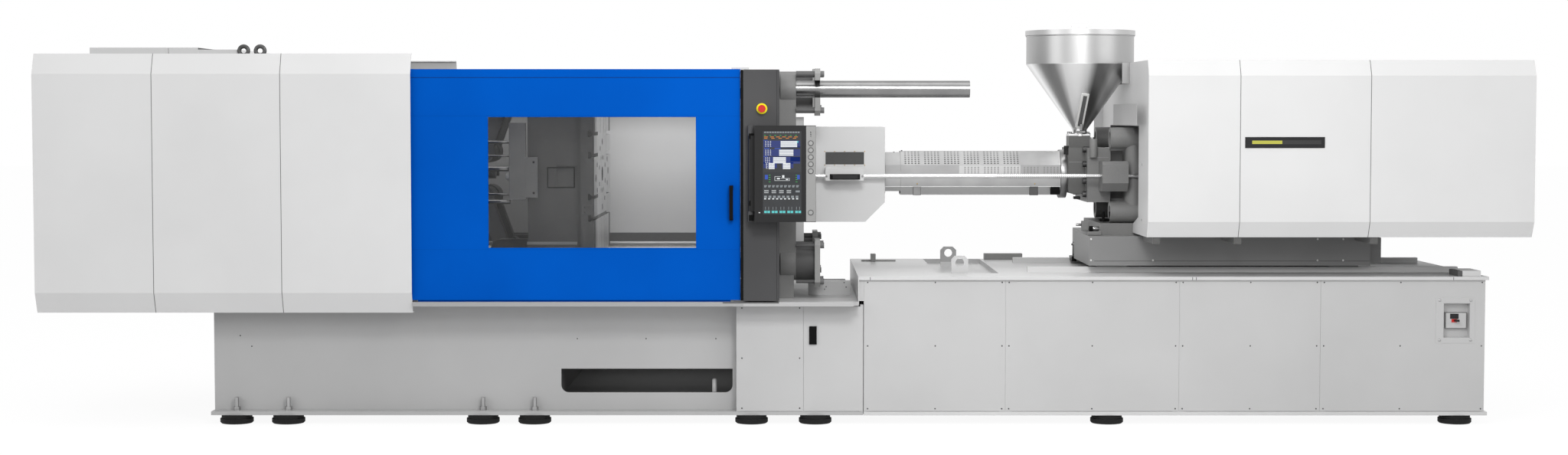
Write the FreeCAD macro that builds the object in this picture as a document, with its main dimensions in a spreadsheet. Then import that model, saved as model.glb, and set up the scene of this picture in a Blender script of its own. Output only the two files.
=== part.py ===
import FreeCAD, Part
import math
import os
import re
import Sketcher

# Horizontal injection moulding machine. Millimetres and degrees.
# X runs from the clamp end to the injection end and is 0 half way along, Y runs from the
# operator's side to the rear and is 0 on the machine's axis, Z is 0 on the floor.

SIZES = {
    # overall
    "half_length": 4450,
    "half_width": 1000,
    "panel_standoff": 130,
    "axis_height": 1484,
    "running_gap": 0.3,
    "fit_gap": 0.05,
    # levelling pads and their bolts
    "pad_radius": 99,
    "pad_height": 54,
    "pad_row": 790,
    "pad_groove": 8,
    "jack_radius": 12,
    "jack_rise": 78,
    "jack_nut_radius": 21,
    "jack_nut_height": 22,
    "first_pads": -3150,
    "second_pads": -1662,
    "third_pads": -4,
    "pad_spread": 156,
    "third_spread": 192,
    "fourth_pads": 1950,
    "fifth_pads": 4052,
    # clamp bed
    "bed_left": 3446,
    "bed_joint": 476,
    "web_row": 760,
    "web_sheet": 20,
    "flange_row": 860,
    "flange_sheet": 22,
    "clamp_deck": 740,
    "deck_sheet": 20,
    "deck_inset": 50,
    "chute_left": 1348,
    "chute_right": 311,
    "chute_low": 180,
    "chute_high": 324,
    "chute_corner": 46,
    "chute_step": 30,
    "chute_sheet": 8,
    "drop_left": 1300,
    "drop_right": 330,
    "drop_row": 400,
    "way_row": 500,
    "way_half": 55,
    "way_height": 24,
    "mid_left": 287,
    "post_sheet": 18,
    "tray_left": 150,
    "tray_row": 345,
    "tray_height": 85,
    "tray_sheet": 4,
    "tray_gap": 30,
    # injection bed
    "injection_deck": 889,
    "lip_left": 445,
    "apron_sheet": 4,
    "well_left": 935,
    "well_right": 1315,
    "well_front": 560,
    "well_back": 840,
    "well_depth": 29,
    "well_sheet": 8,
    "bed_right": 4208,
    "lip_out": 16,
    "lip_row": 876,
    "injection_flange_row": 872,
    "frame_row": 857,
    "seam_one": 1330,
    "seam_two": 2373,
    "seam_three": 3220,
    "seam_gap": 1.5,
    "panel_sheet": 3,
    "rail_row": 455,
    "rail_half": 24,
    "rail_height": 34,
    "rail_left": 1500,
    "rail_right": 4150,
    "eye_place": 1080,
    "eye_half": 52,
    "eye_row": 500,
    "eye_sheet": 26,
    "eye_rise": 103,
    "eye_hole_rise": 62,
    "eye_hole": 26,
    "eye_corner": 22,
    # panels, door and breaker
    "panel_low": 78,
    "mid_panel_top": 709,
    "mid_seam": 117,
    "latch_left": 151,
    "latch_right": 196,
    "latch_low": 481,
    "latch_high": 590,
    "latch_thick": 9,
    "door_hinge_radius": 5,
    "breaker_left": 3960,
    "breaker_right": 4116,
    "breaker_low": 522,
    "breaker_high": 727,
    "breaker_depth": 42,
    "breaker_rim": 30,
    "switch_left": 3975,
    "switch_right": 4104,
    "switch_low": 575,
    "switch_high": 673,
    "switch_thick": 22,
    "lever_half": 12,
    "lever_length": 34,
    "lever_pin": 6,
    # clamp hood
    "hood_end": 2211,
    "hood_low": 680,
    "hood_high": 2220,
    "hood_bevel": 121,
    "hood_inset": 45,
    "hood_sheet": 6,
    "hood_lip": 50,
    "hood_seam_one": 3743,
    "roof_open_left": 2600,
    "roof_open_lip": 25,
    "hood_seam_two": 2982,
    "hanger_half": 20,
    "roof_box_left": 4222,
    "roof_box_mid": 3562,
    "roof_box_right": 3325,
    "roof_box_row": 600,
    "roof_box_rise": 46,
    "roof_tray_rise": 34,
    "roof_ring_one": 3285,
    "roof_ring_two": 3185,
    "roof_ring_radius": 26,
    "roof_ring_wire": 8,
    # gates
    "gate_left": 2240,
    "gate_right": 259,
    "gate_low": 757,
    "gate_high": 2128,
    "gate_inset": 27,
    "gate_sheet": 25,
    "gate_skin": 4,
    "gate_rim": 60,
    "gate_travel": 1480,
    "window_left": 1761,
    "window_right": 518,
    "window_low": 1063,
    "window_high": 1849,
    "window_lap": 20,
    "pane_sheet": 8,
    "runner_depth": 12,
    "track_left": 3740,
    "track_right": 415,
    "sill_inset": 10,
    "track_inset": 40,
    "track_width": 30,
    "track_low": 720,
    "track_high": 746,
    "rail_low": 2103,
    "rail_inset": 60,
    "rail_width": 25,
    "cap_left": 314,
    "cap_right": 209,
    "cap_thick": 13,
    "handle_place": 313,
    "handle_low": 1232,
    "handle_high": 1439,
    "handle_half": 11,
    "handle_stand": 46,
    "handle_foot": 30,
    # column cover and stop button
    "column_left": 241,
    "column_right": 28,
    "column_low": 754,
    "column_high": 2125,
    "column_sheet": 6,
    "column_bevel": 16,
    "stop_place": 131,
    "stop_height": 1894,
    "stop_ring": 32,
    "stop_ring_thick": 12,
    "stop_cap": 22,
    "stop_cap_thick": 22,
    "stop_stem": 11,
    "stop_travel": 6,
    # control panel
    "panel_left": 173,
    "panel_right": 187,
    "panel_seam": 129,
    "panel_bottom": 1228,
    "panel_top": 1795,
    "panel_depth": 62,
    "panel_wall": 4,
    "screen_left": 124,
    "screen_right": 102,
    "screen_low": 1274,
    "screen_high": 1761,
    "screen_sheet": 4,
    "pivot_place": 196,
    "pivot_out": 48,
    "pivot_radius": 9,
    "pivot_knuckle": 18,
    "knuckle_height": 60,
    "button_place": 157,
    "button_radius": 12,
    "button_proud": 5,
    "button_travel": 3,
    "button_first": 1691,
    "button_pitch": 41,
    "button_last": 1284,
    # platens and tie bars
    "platen_half": 638,
    "platen_corner": 104,
    "tie_half": 530,
    "tie_radius": 52,
    "fixed_face": 215,
    "fixed_thick": 288,
    "daylight": 940,
    "moving_flange": 82,
    "moving_thick": 407,
    "moving_body_half": 600,
    "slot_one": 127,
    "slot_two": 258,
    "slot_neck": 11,
    "slot_head": 19,
    "slot_neck_depth": 20,
    "slot_depth": 36,
    "slot_inner": 330,
    "ring_bore": 62.5,
    "nozzle_way_small": 90,
    "nozzle_way_large": 230,
    "nozzle_way_depth": 190,
    "foot_row": 570,
    "foot_half": 60,
    "foot_left": 150,
    "foot_right": 60,
    "keeper_length": 114,
    "keeper_radius": 105,
    "keeper_flange": 33,
    "keeper_half": 143,
    "keeper_corner": 30,
    "keeper_bolt": 18,
    "keeper_bolt_head": 24,
    "keeper_bolt_row": 110,
    "upper_keeper_drop": 19,
    "long_bar_end": 1135,
    "bar_end": 205,
    "bar_tail": 2760,
    # toggle clamp
    "clamp_stroke": 460.6,
    "link_length": 350,
    "link_fold": 70,
    "pivot_rise": 470,
    "front_pivot_out": 198,
    "link_eye": 70,
    "link_web": 46,
    "link_pin": 35,
    "rear_link_half": 120,
    "rear_link_slot": 40,
    "front_link_half": 220,
    "lug_outer": 300,
    "tail_lug_outer": 200,
    "tail_lug_out": 120,
    "tail_thick": 330,
    "tail_window_half": 215,
    "tail_window_row": 215,
    "arm_reach": 230,
    "arm_length": 430,
    "arm_eye": 35,
    "arm_pin": 20,
    "crosshead_rise": 85,
    "crosshead_half": 62,
    "crosshead_row": 90,
    "crosshead_block": 45,
    "crosshead_back": 316.6,
    "guide_row": 165,
    "guide_radius": 18,
    "guide_length": 620,
    "clamp_screw_radius": 30,
    "clamp_screw_length": 820,
    "screw_house": 140,
    "motor_half": 110,
    "motor_length": 420,
    "die_travel": 300,
    "die_nut_length": 110,
    "die_nut_radius": 92,
    # ejector
    "ejector_half": 150,
    "ejector_thick": 40,
    "ejector_place": 60,
    "ejector_travel": 150,
    "ejector_room": 180,
    "ejector_room_depth": 270,
    "ejector_pin": 15,
    "ejector_row": 100,
    # purge guard
    "guard_frame_end": 123,
    "guard_frame_low": 1073,
    "guard_frame_high": 1843,
    "guard_end": 626,
    "guard_row": 350,
    "guard_low": 1194,
    "guard_high": 1777,
    "guard_sheet": 4,
    "guard_bevel": 122,
    "guard_pin": 6,
    "guard_window_left": 257,
    "guard_window_right": 496,
    "guard_window_low": 1550,
    "guard_window_high": 1627,
    "grip_left": 288,
    "grip_right": 463,
    "grip_height": 1476,
    "bracket_left": 255,
    "bracket_right": 493,
    "bracket_low": 1452,
    "bracket_high": 1530,
    "bracket_out": 442,
    "grip_half": 11,
    "grip_stand": 32,
    "grip_foot": 26,
    # nozzle touch screws
    "touch_row": 400,
    "touch_height": 1480,
    "touch_radius": 13,
    "touch_end": 2900,
    "touch_collar": 26,
    "touch_collar_end": 200,
    "nut_left": 1961,
    "nut_out": 66,
    "nut_low_out": 16,
    "nut_high_out": 36,
    "nut_flat_low": 43,
    "nut_flat_high": 68,
    "nut_drop": 95,
    "nut_rise": 90,
    # barrel and injection unit
    "barrel_radius": 95,
    "barrel_bore": 37.6,
    "screw_radius": 37.5,
    "nozzle_tip": -110,
    "nozzle_radius": 24,
    "nozzle_mouth": 4,
    "nozzle_neck": 120,
    "barrel_head": 330,
    "barrel_end": 2200,
    "cover_left": 735,
    "cover_right": 1740,
    "cover_nose": 637,
    "cover_half": 150,
    "cover_flat": 78,
    "cover_high": 144,
    "cover_shoulder": 59,
    "cover_hip": 79,
    "cover_low": 131,
    "cover_sheet": 3,
    "cover_step": 8,
    "throat_left": 1742,
    "throat_flange_end": 1786,
    "throat_flange_radius": 152,
    "throat_row": 170,
    "throat_low": 1360,
    "throat_corner": 30,
    "throat_neck_left": 1800,
    "throat_neck_right": 1936,
    "throat_neck_half": 66,
    "throat_top": 1724,
    "feed_radius": 40,
    "plate_left": 1889,
    "plate_right": 2032,
    "plate_row": 300,
    "plate_low": 1314,
    "plate_high": 1651,
    "core_row": 200,
    "core_rise": 150,
    "head_left": 2120,
    "boss_left": 2021,
    "boss_end": 2215,
    "rib_radius": 52,
    "saddle_left": 1958,
    "saddle_right": 2190,
    "saddle_row": 400,
    "saddle_high": 1187,
    "boss_radius": 66,
    "boss_rise": 228,
    "boss_row": 340,
    "rod_radius": 40,
    "rod_left": 2045,
    "back_plate_left": 3460,
    "back_plate_right": 3560,
    "back_plate_high": 1800,
    "back_plate_row": 430,
    "pressure_left": 2550,
    "pressure_thick": 140,
    "pressure_half_height": 300,
    "pressure_row": 450,
    "pressure_clear": 6,
    "nut_tube_length": 400,
    "nut_tube_radius": 60,
    "injection_stroke": 320,
    "injection_screw_radius": 30,
    "injection_screw_length": 900,
    "belt_case_thick": 90,
    "carriage_left": 1869,
    "carriage_right": 3590,
    "carriage_row": 560,
    "carriage_low": 935,
    "carriage_high": 1115,
    "carriage_wall": 40,
    "notch_length": 36,
    "notch_row": 186,
    "bumper_end": 3663,
    "shoe_half_length": 90,
    "retract_travel": 450,
    "injection_hood_left": 2158,
    "injection_hood_low": 1130,
    "injection_hood_high": 2182,
    "injection_bevel": 93,
    "hopper_room_depth": 130,
    "gap_foot_row": 405,
    "gap_foot_high": 1185,
    "gap_shoulder": 1235,
    "gap_row": 620,
    "gap_high": 1790,
    "cheek_left": 2100,
    "hood_cut_one": 2702,
    "hood_cut_two": 3475,
    "cross_bar_half": 20,
    # hopper
    "hopper_place": 1876,
    "hopper_radius": 339,
    "hopper_throat": 46,
    "hopper_flange": 69,
    "hopper_flange_thick": 18,
    "hopper_cone_low": 1764,
    "hopper_cone_high": 2176,
    "hopper_rim": 2384,
    "hopper_sheet": 3,
    "hopper_clear": 20,
    "lid_radius": 346,
    "lid_sheet": 3,
    "lid_skirt": 28,
    "lid_handle_half": 53,
    "lid_handle_rise": 38,
    "lid_handle_radius": 6,
    "lid_travel": 350,
    # water manifold at the rear
    "manifold_left": 620,
    "manifold_right": 1220,
    "manifold_low": 560,
    "manifold_high": 640,
    "manifold_port_radius": 10,
    "manifold_ports": 6,
    "manifold_stub": 60,
    "manifold_stub_radius": 18,
}

doc = FreeCAD.newDocument("moulding_machine")
sheet = doc.addObject("Spreadsheet::Sheet", "sizes")
for row, (name, value) in enumerate(SIZES.items(), start=1):
    sheet.set(f"A{row}", name)
    sheet.set(f"B{row}", str(value))
    sheet.setAlias(f"B{row}", name)
doc.recompute()

# The formulas below use the sheet's names. These are the places that several pieces share.
AXIS = "axis_height"
SIDE_REACH = "(half_width + panel_standoff)"
GATE_FACE = "(half_width - gate_inset)"
SILL_ROW = "(half_width - sill_inset)"
TRACK_ROW = "(half_width - track_inset)"
TRACK_BACK = "(half_width - track_inset - track_width)"
RAIL_FRONT = "(half_width - rail_inset)"
RAIL_BACK = "(half_width - rail_inset - rail_width)"
DECK_ROW = "(half_width - deck_inset)"
PIVOT_ROW = "(half_width + pivot_out)"
MOVING_FACE = "-fixed_face - daylight"
MOVING_BACK = "-fixed_face - daylight - moving_thick"
FIXED_BACK = "-fixed_face + fixed_thick"
FRONT_PIVOT = f"({MOVING_BACK} - front_pivot_out)"
REAR_PIVOT = f"({FRONT_PIVOT} - 2 * link_length * cos(link_fold))"
KNUCKLE = f"({REAR_PIVOT} + link_length * cos(link_fold))"
KNUCKLE_RISE = "(pivot_rise - link_length * sin(link_fold))"
ARM_TIP = f"({REAR_PIVOT} + arm_reach * cos(link_fold))"
ARM_TIP_RISE = "(pivot_rise - arm_reach * sin(link_fold))"
CROSSHEAD = f"({REAR_PIVOT} - crosshead_back)"
TAIL_FACE = f"({REAR_PIVOT} - tail_lug_out)"
TAIL_BACK = f"({REAR_PIVOT} - tail_lug_out - tail_thick)"
FLANGE_TOP = "(pad_height + flange_sheet)"
WAY_TOP = "(clamp_deck + way_height)"
RAIL_TOP = "(injection_deck + rail_height)"
KEEPER_FACE = f"({FIXED_BACK} + keeper_length)"
KEEPER_END = f"({FIXED_BACK} + keeper_length + keeper_flange)"

PAD_PLACES = (
    "first_pads - pad_spread",
    "first_pads + pad_spread",
    "second_pads - pad_spread",
    "second_pads + pad_spread",
    "third_pads - third_spread",
    "third_pads + third_spread",
    "fourth_pads",
    "fifth_pads",
)

TURNS = {
    "x": FreeCAD.Rotation(FreeCAD.Vector(0, 1, 0), 90),
    "y": FreeCAD.Rotation(FreeCAD.Vector(1, 0, 0), -90),
    "z": FreeCAD.Rotation(),
}
PLANE_NORMALS = {"XY": "z", "XZ": "y", "YZ": "x"}


def bind(thing, prop, formula):
    # Tie one property to a formula of the sheet's names.
    named = re.sub(r"[a-z]\w*", lambda word: "sizes." + word[0] if word[0] in SIZES else word[0], formula)
    thing.setExpression(prop, named)


def place(thing, x, y, z):
    bind(thing, "Placement.Base.x", x)
    bind(thing, "Placement.Base.y", y)
    bind(thing, "Placement.Base.z", z)


def block(name, x_span, y_span, z_span):
    # A box between low and high formulas along each axis.
    solid = doc.addObject("Part::Box", name)
    spans = (x_span, y_span, z_span)
    for prop, (low, high) in zip(("Length", "Width", "Height"), spans):
        bind(solid, prop, f"({high}) - ({low})")
    place(solid, *(low for low, high in spans))
    return solid


def across(axis, along, centre):
    # Put a coordinate along an axis together with the other two, in x, y, z order.
    rest = list(centre)
    rest.insert("xyz".index(axis), along)
    return rest


def rod(name, axis, span, centre, radius):
    # A cylinder along x, y or z.
    low, high = span
    solid = doc.addObject("Part::Cylinder", name)
    solid.Placement = FreeCAD.Placement(FreeCAD.Vector(), TURNS[axis])
    bind(solid, "Radius", radius)
    bind(solid, "Height", f"({high}) - ({low})")
    place(solid, *across(axis, low, centre))
    return solid


def taper(name, axis, span, centre, low_radius, high_radius):
    low, high = span
    solid = doc.addObject("Part::Cone", name)
    solid.Placement = FreeCAD.Placement(FreeCAD.Vector(), TURNS[axis])
    bind(solid, "Radius1", low_radius)
    bind(solid, "Radius2", high_radius)
    bind(solid, "Height", f"({high}) - ({low})")
    place(solid, *across(axis, low, centre))
    return solid


def outline_sketch(body, plane, outline):
    # A closed polygon on one of the body's own origin planes, each corner tied to two formulas.
    sketch = body.newObject("Sketcher::SketchObject", body.Name + "_outline")
    support = [item for item in body.Origin.OriginFeatures if item.Role == plane + "_Plane"][0]
    sketch.AttachmentSupport = [(support, "")]
    sketch.MapMode = "FlatFace"
    count = len(outline)
    corners = []
    for index in range(count):
        angle = 2 * math.pi * index / count
        corners.append(FreeCAD.Vector(100 * math.cos(angle), 100 * math.sin(angle), 0))
    for index in range(count):
        sketch.addGeometry(Part.LineSegment(corners[index], corners[(index + 1) % count]))
    for index in range(count):
        sketch.addConstraint(Sketcher.Constraint("Coincident", index, 2, (index + 1) % count, 1))
    for index, (right, up) in enumerate(outline):
        for kind, start, formula in (("DistanceX", corners[index].x, right), ("DistanceY", corners[index].y, up)):
            number = sketch.addConstraint(Sketcher.Constraint(kind, -1, 1, index, 1, start))
            bind(sketch, f"Constraints[{number}]", formula)
    return sketch


def prism(name, plane, outline, span):
    # A padded outline. The span runs along the plane's normal.
    low, high = span
    body = doc.addObject("PartDesign::Body", name)
    sketch = outline_sketch(body, plane, outline)
    pad = body.newObject("PartDesign::Pad", name + "_pad")
    pad.Profile = sketch
    bind(pad, "Length", f"({high}) - ({low})")
    body.Tip = pad
    axis = PLANE_NORMALS[plane]
    bind(body, f"Placement.Base.{axis}", high if axis == "y" else low)
    return body


def turned(name, axis, outline, centre):
    # A revolved outline. For x the outline is (along, radius), for z it is (radius, up).
    body = doc.addObject("PartDesign::Body", name)
    sketch = outline_sketch(body, "XZ", outline)
    turn = body.newObject("PartDesign::Revolution", name + "_turn")
    turn.Profile = sketch
    turn.ReferenceAxis = (sketch, ["H_Axis" if axis == "x" else "V_Axis"])
    turn.Angle = 360
    body.Tip = turn
    place(body, *across(axis, "0", centre))
    return body


def mirrored(name, source, normal, height="0"):
    # The mirror image across y = 0, or across z = height.
    image = doc.addObject("Part::Mirroring", name)
    image.Source = source
    image.Normal = FreeCAD.Vector(0, 1, 0) if normal == "y" else FreeCAD.Vector(0, 0, 1)
    if normal == "z":
        bind(image, "Base.z", height)
    return image


def both_sides(source):
    return [source, mirrored(source.Name + "_rear", source, "y")]


def fuse(name, solids):
    whole = doc.addObject("Part::MultiFuse", name)
    whole.Shapes = solids
    whole.Refine = True
    return whole


def cut(name, base, tools):
    if len(tools) > 1:
        tool = doc.addObject("Part::Compound", name + "_tools")
        tool.Links = tools
    else:
        tool = tools[0]
    rest = doc.addObject("Part::Cut", name)
    rest.Base = base
    rest.Tool = tool
    return rest


def group(name, solids):
    # Several separate solids kept as one sub-part.
    whole = doc.addObject("Part::Compound", name)
    whole.Links = solids
    return whole


PARTS = []


def finish(node, thing):
    thing.Label = node
    PARTS.append(thing)
    return thing


# ---- levelling pads and bolts

def make_pads():
    pads = []
    bolts = []
    for number, x in enumerate(PAD_PLACES, start=1):
        pad = turned(
            f"pad_{number}",
            "z",
            [
                ("0", "0"),
                ("pad_radius - pad_groove", "0"),
                ("pad_radius", "pad_groove"),
                ("pad_radius", "pad_height * 0.55"),
                ("pad_radius - pad_groove", "pad_height * 0.62"),
                ("pad_radius - pad_groove", "pad_height"),
                ("0", "pad_height"),
            ],
            (x, "-pad_row"),
        )
        pads += both_sides(pad)
        shank_top = "pad_height + flange_sheet + jack_rise"
        shank = rod(f"jack_shank_{number}", "z", ("pad_height", shank_top), (x, "-pad_row"), "jack_radius")
        nut_top = f"{FLANGE_TOP} + jack_nut_height"
        nut = rod(f"jack_nut_{number}", "z", (FLANGE_TOP, nut_top), (x, "-pad_row"), "jack_nut_radius")
        bolts += both_sides(fuse(f"jack_{number}", [shank, nut]))
    finish("levelling_pads", group("pads", pads))
    finish("levelling_bolts", group("jacks", bolts))


# ---- beds

def jack_holes(prefix, numbers):
    holes = []
    for number in numbers:
        x = PAD_PLACES[number - 1]
        span = ("pad_height - 1", f"{FLANGE_TOP} + 1")
        hole = rod(f"{prefix}_{number}", "z", span, (x, "-pad_row"), "jack_radius + running_gap")
        holes += both_sides(hole)
    return holes


def make_clamp_bed():
    under_deck = "clamp_deck - deck_sheet"
    long_span = ("-bed_left", "bed_joint")
    web = block("clamp_web", long_span, ("-web_row", "-web_row + web_sheet"), (FLANGE_TOP, under_deck))
    corner = "chute_corner"
    slot = fuse("chute_slot", [
        block("slot_upper", ("-chute_left", "-chute_right"), ("-web_row - 1", "-web_row + web_sheet + 1"),
              (f"chute_low + {corner}", "chute_high")),
        block("slot_lower", (f"-chute_left + {corner}", f"-chute_right - {corner}"),
              ("-web_row - 1", "-web_row + web_sheet + 1"), ("chute_low", f"chute_low + {corner} + 1")),
        rod("slot_corner_left", "y", ("-web_row - 1", "-web_row + web_sheet + 1"),
            (f"-chute_left + {corner}", f"chute_low + {corner}"), corner),
        rod("slot_corner_right", "y", ("-web_row - 1", "-web_row + web_sheet + 1"),
            (f"-chute_right - {corner}", f"chute_low + {corner}"), corner),
    ])
    front_web = cut("front_web", web, [slot])
    solids = [front_web, mirrored("rear_web", web, "y")]
    flange = block("clamp_flange", long_span, ("-flange_row", "-web_row + 4 * web_sheet"),
                   ("pad_height", FLANGE_TOP))
    solids += both_sides(flange)
    cross = ("-web_row + web_sheet", "web_row - web_sheet")
    walls = (
        ("left_end", "-bed_left", "-bed_left + web_sheet"),
        ("chute_wall_left", "-chute_left - web_sheet", "-chute_left"),
        ("chute_wall_right", "-chute_right", "-chute_right + web_sheet"),
        ("right_end", "bed_joint - web_sheet", "bed_joint"),
    )
    for name, low, high in walls:
        solids.append(block(f"clamp_{name}", (low, high), cross, ("pad_height", under_deck)))
    for name, low, high in (
        ("mid", "-mid_left", "-mid_left + post_sheet"),
        ("seam", "mid_seam - post_sheet / 2", "mid_seam + post_sheet / 2"),
        ("joint", "bed_joint - post_sheet", "bed_joint"),
    ):
        row = ("-frame_row", "-web_row")
        solids += both_sides(block(f"mid_post_{name}", (low, high), row, (FLANGE_TOP, under_deck)))
    solids.append(block("chute_floor", ("-chute_left", "-chute_right"), cross,
                        ("chute_low - chute_step", "chute_low - chute_step + chute_sheet")))
    deck = block("clamp_deck_plate", ("-bed_left", "lip_left - running_gap"), (f"-{DECK_ROW}", f"{DECK_ROW}"),
                 (under_deck, "clamp_deck"))
    drop = block("drop_hole", ("-drop_left", "-drop_right"), ("-drop_row", "drop_row"),
                 (f"{under_deck} - 1", "clamp_deck + 1"))
    solids.append(cut("clamp_deck_open", deck, [drop]))
    way = block("way", ("-bed_left + web_sheet", "-fixed_face - slot_depth"), ("-way_row - way_half", "-way_row + way_half"),
                ("clamp_deck", WAY_TOP))
    solids += both_sides(way)
    wall = block("tray_wall", ("tray_left", "lip_left - tray_gap"), ("-tray_row", "-tray_row + tray_sheet"),
                 ("clamp_deck", "clamp_deck + tray_height"))
    solids.append(wall)
    hanger_row = (f"-{DECK_ROW} + 5", f"-{DECK_ROW} + 45")
    for number, x in enumerate(("-bed_left + 60", "-hood_seam_two", "-hood_end - 60"), start=1):
        hanger = block(f"hood_hanger_{number}", (f"{x} - hanger_half", f"{x} + hanger_half"), hanger_row,
                       ("hood_low + hood_sheet", under_deck))
        solids += both_sides(hanger)
    whole = fuse("clamp_bed_whole", solids)
    finish("clamp_bed", cut("clamp_bed_cut", whole, jack_holes("clamp_jack_hole", range(1, 7))))


def make_injection_bed():
    under_deck = "injection_deck - deck_sheet"
    left = "bed_joint + 2 * seam_gap"
    deck = block("injection_deck_plate", ("lip_left", "bed_right + lip_out"), ("-lip_row", "lip_row"),
                 (under_deck, "injection_deck"))
    floor = "injection_deck - well_depth"
    well = block("eye_well", ("well_left", "well_right"), ("-well_front", "well_back"), (floor, "injection_deck + 1"))
    pan = block("eye_well_pan", ("well_left - well_sheet", "well_right + well_sheet"),
                ("-well_front - well_sheet", "well_back + well_sheet"), (f"{floor} - well_sheet", f"{under_deck} + 1"))
    apron = block("deck_apron", ("lip_left", "lip_left + apron_sheet"), ("-lip_row", "lip_row"),
                  ("clamp_deck - deck_sheet", under_deck))
    solids = [cut("injection_deck_open", fuse("injection_deck_whole", [deck, pan, apron]), [well])]
    flange = block("injection_flange", (left, "bed_right + lip_out"), ("-injection_flange_row", "-web_row + 4 * web_sheet"),
                   ("pad_height", FLANGE_TOP))
    solids += both_sides(flange)
    for name, low, high in (("left", left, f"{left} + web_sheet"), ("right", "bed_right - web_sheet", "bed_right")):
        solids.append(block(f"injection_wall_{name}", (low, high), ("-frame_row", "frame_row"),
                            (FLANGE_TOP, under_deck)))
        solids.append(block(f"injection_foot_{name}", (low, high), ("-web_row + 4 * web_sheet", "web_row - 4 * web_sheet"),
                            ("pad_height", FLANGE_TOP)))
    for number, seam in enumerate(("seam_one", "seam_two", "seam_three"), start=1):
        post = block(f"injection_post_{number}", (f"{seam} - 2 * post_sheet", f"{seam} + 2 * post_sheet"),
                     ("-frame_row", "-frame_row + 2 * post_sheet"), (FLANGE_TOP, under_deck))
        solids += both_sides(post)
    rail = block("carriage_rail", ("rail_left", "rail_right"), ("-rail_row - rail_half", "-rail_row + rail_half"),
                 ("injection_deck", RAIL_TOP))
    solids += both_sides(rail)
    top = "injection_deck + eye_rise"
    eye = prism("eye_plate", "XZ", [
        ("eye_place - eye_half", floor),
        ("eye_place + eye_half", floor),
        ("eye_place + eye_half", f"{top} - eye_corner"),
        ("eye_place + eye_half - eye_corner", top),
        ("eye_place - eye_half + eye_corner", top),
        ("eye_place - eye_half", f"{top} - eye_corner"),
    ], ("-eye_row - eye_sheet / 2", "-eye_row + eye_sheet / 2"))
    eye_hole = rod("eye_hole", "y", ("-eye_row - eye_sheet", "-eye_row + eye_sheet"),
                   ("eye_place", "injection_deck + eye_hole_rise"), "eye_hole")
    solids += both_sides(cut("lifting_eye", eye, [eye_hole]))
    whole = fuse("injection_bed_whole", solids)
    finish("injection_bed", cut("injection_bed_cut", whole, jack_holes("injection_jack_hole", (7, 8))))


# ---- cover panels of the beds, the service door and the main breaker

def make_panels():
    row = ("-flange_row", "-frame_row")
    tall = ("panel_low", "injection_deck - deck_sheet - running_gap")
    seams = ("bed_joint + 2 * seam_gap", "seam_one", "seam_two", "seam_three", "bed_right")
    solids = []
    for number in range(1, 5):
        span = (f"{seams[number - 1]} + seam_gap", f"{seams[number]} - seam_gap")
        panel = block(f"bed_panel_{number}", span, row, tall)
        rear = mirrored(f"bed_panel_rear_{number}", panel, "y")
        if number == 4:
            rim_width = ("breaker_left - breaker_rim", "breaker_right + breaker_rim")
            rim_height = ("breaker_low - breaker_rim", "breaker_high + breaker_rim")
            panel = cut("breaker_panel", panel, [block("breaker_hole", rim_width, ("-flange_row - 1", "-frame_row + 1"),
                                                       rim_height)])
            plate = block("breaker_plate", rim_width, row, rim_height)
            cup = block("breaker_cup", ("breaker_left - panel_sheet", "breaker_right + panel_sheet"),
                        ("-frame_row", "-frame_row + breaker_depth"),
                        ("breaker_low - panel_sheet", "breaker_high + panel_sheet"))
            room = block("breaker_room", ("breaker_left", "breaker_right"),
                         ("-flange_row - 1", "-frame_row + breaker_depth - panel_sheet"),
                         ("breaker_low", "breaker_high"))
            body = block("breaker_body", ("switch_left", "switch_right"),
                         ("-frame_row + breaker_depth - panel_sheet - switch_thick",
                          "-frame_row + breaker_depth - panel_sheet"), ("switch_low", "switch_high"))
            # the pan's plate fills the panel's cut-out, flush with its face, and the switch stands on the pan's floor
            solids += [cut("breaker_pan", fuse("breaker_pan_whole", [plate, cup]), [room]), body]
        solids += [panel, rear]
    mid = block("mid_panel", ("-mid_left + seam_gap", "mid_seam - seam_gap"), row, ("panel_low", "mid_panel_top"))
    rear_mid = block("mid_panel_rear", ("-mid_left + seam_gap", "bed_joint - seam_gap"),
                     ("frame_row", "flange_row"), ("panel_low", "mid_panel_top"))
    finish("bed_panels", group("panels", solids + [mid, rear_mid]))


def make_service_door():
    door = block("door_sheet", ("mid_seam + seam_gap", "bed_joint - 2 * seam_gap"), ("-flange_row", "-frame_row - 0.3"),
                 ("panel_low", "mid_panel_top"))
    finish("service_door", door)
    latch = block("latch_plate", ("latch_left", "latch_right"), ("-flange_row - latch_thick", "-flange_row - running_gap"),
                  ("latch_low", "latch_high"))
    finish("door_latch", latch)


def make_breaker_handle():
    face = "-frame_row + breaker_depth - panel_sheet - switch_thick"
    middle = "(switch_left + switch_right) / 2"
    height = "(switch_low + switch_high) / 2"
    lever = fuse("lever_whole", [
        block("lever_bar", (f"{middle} - lever_half", f"{middle} + lever_half"),
              (f"{face} - lever_length", f"{face} - lever_pin - running_gap"),
              (f"{height} - lever_pin", f"{height} + lever_pin")),
        rod("lever_barrel", "x", (f"{middle} - lever_half", f"{middle} + lever_half"),
            (f"{face} - lever_pin - running_gap", height), "lever_pin"),
    ])
    finish("breaker_handle", lever)


# ---- hoods

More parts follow.
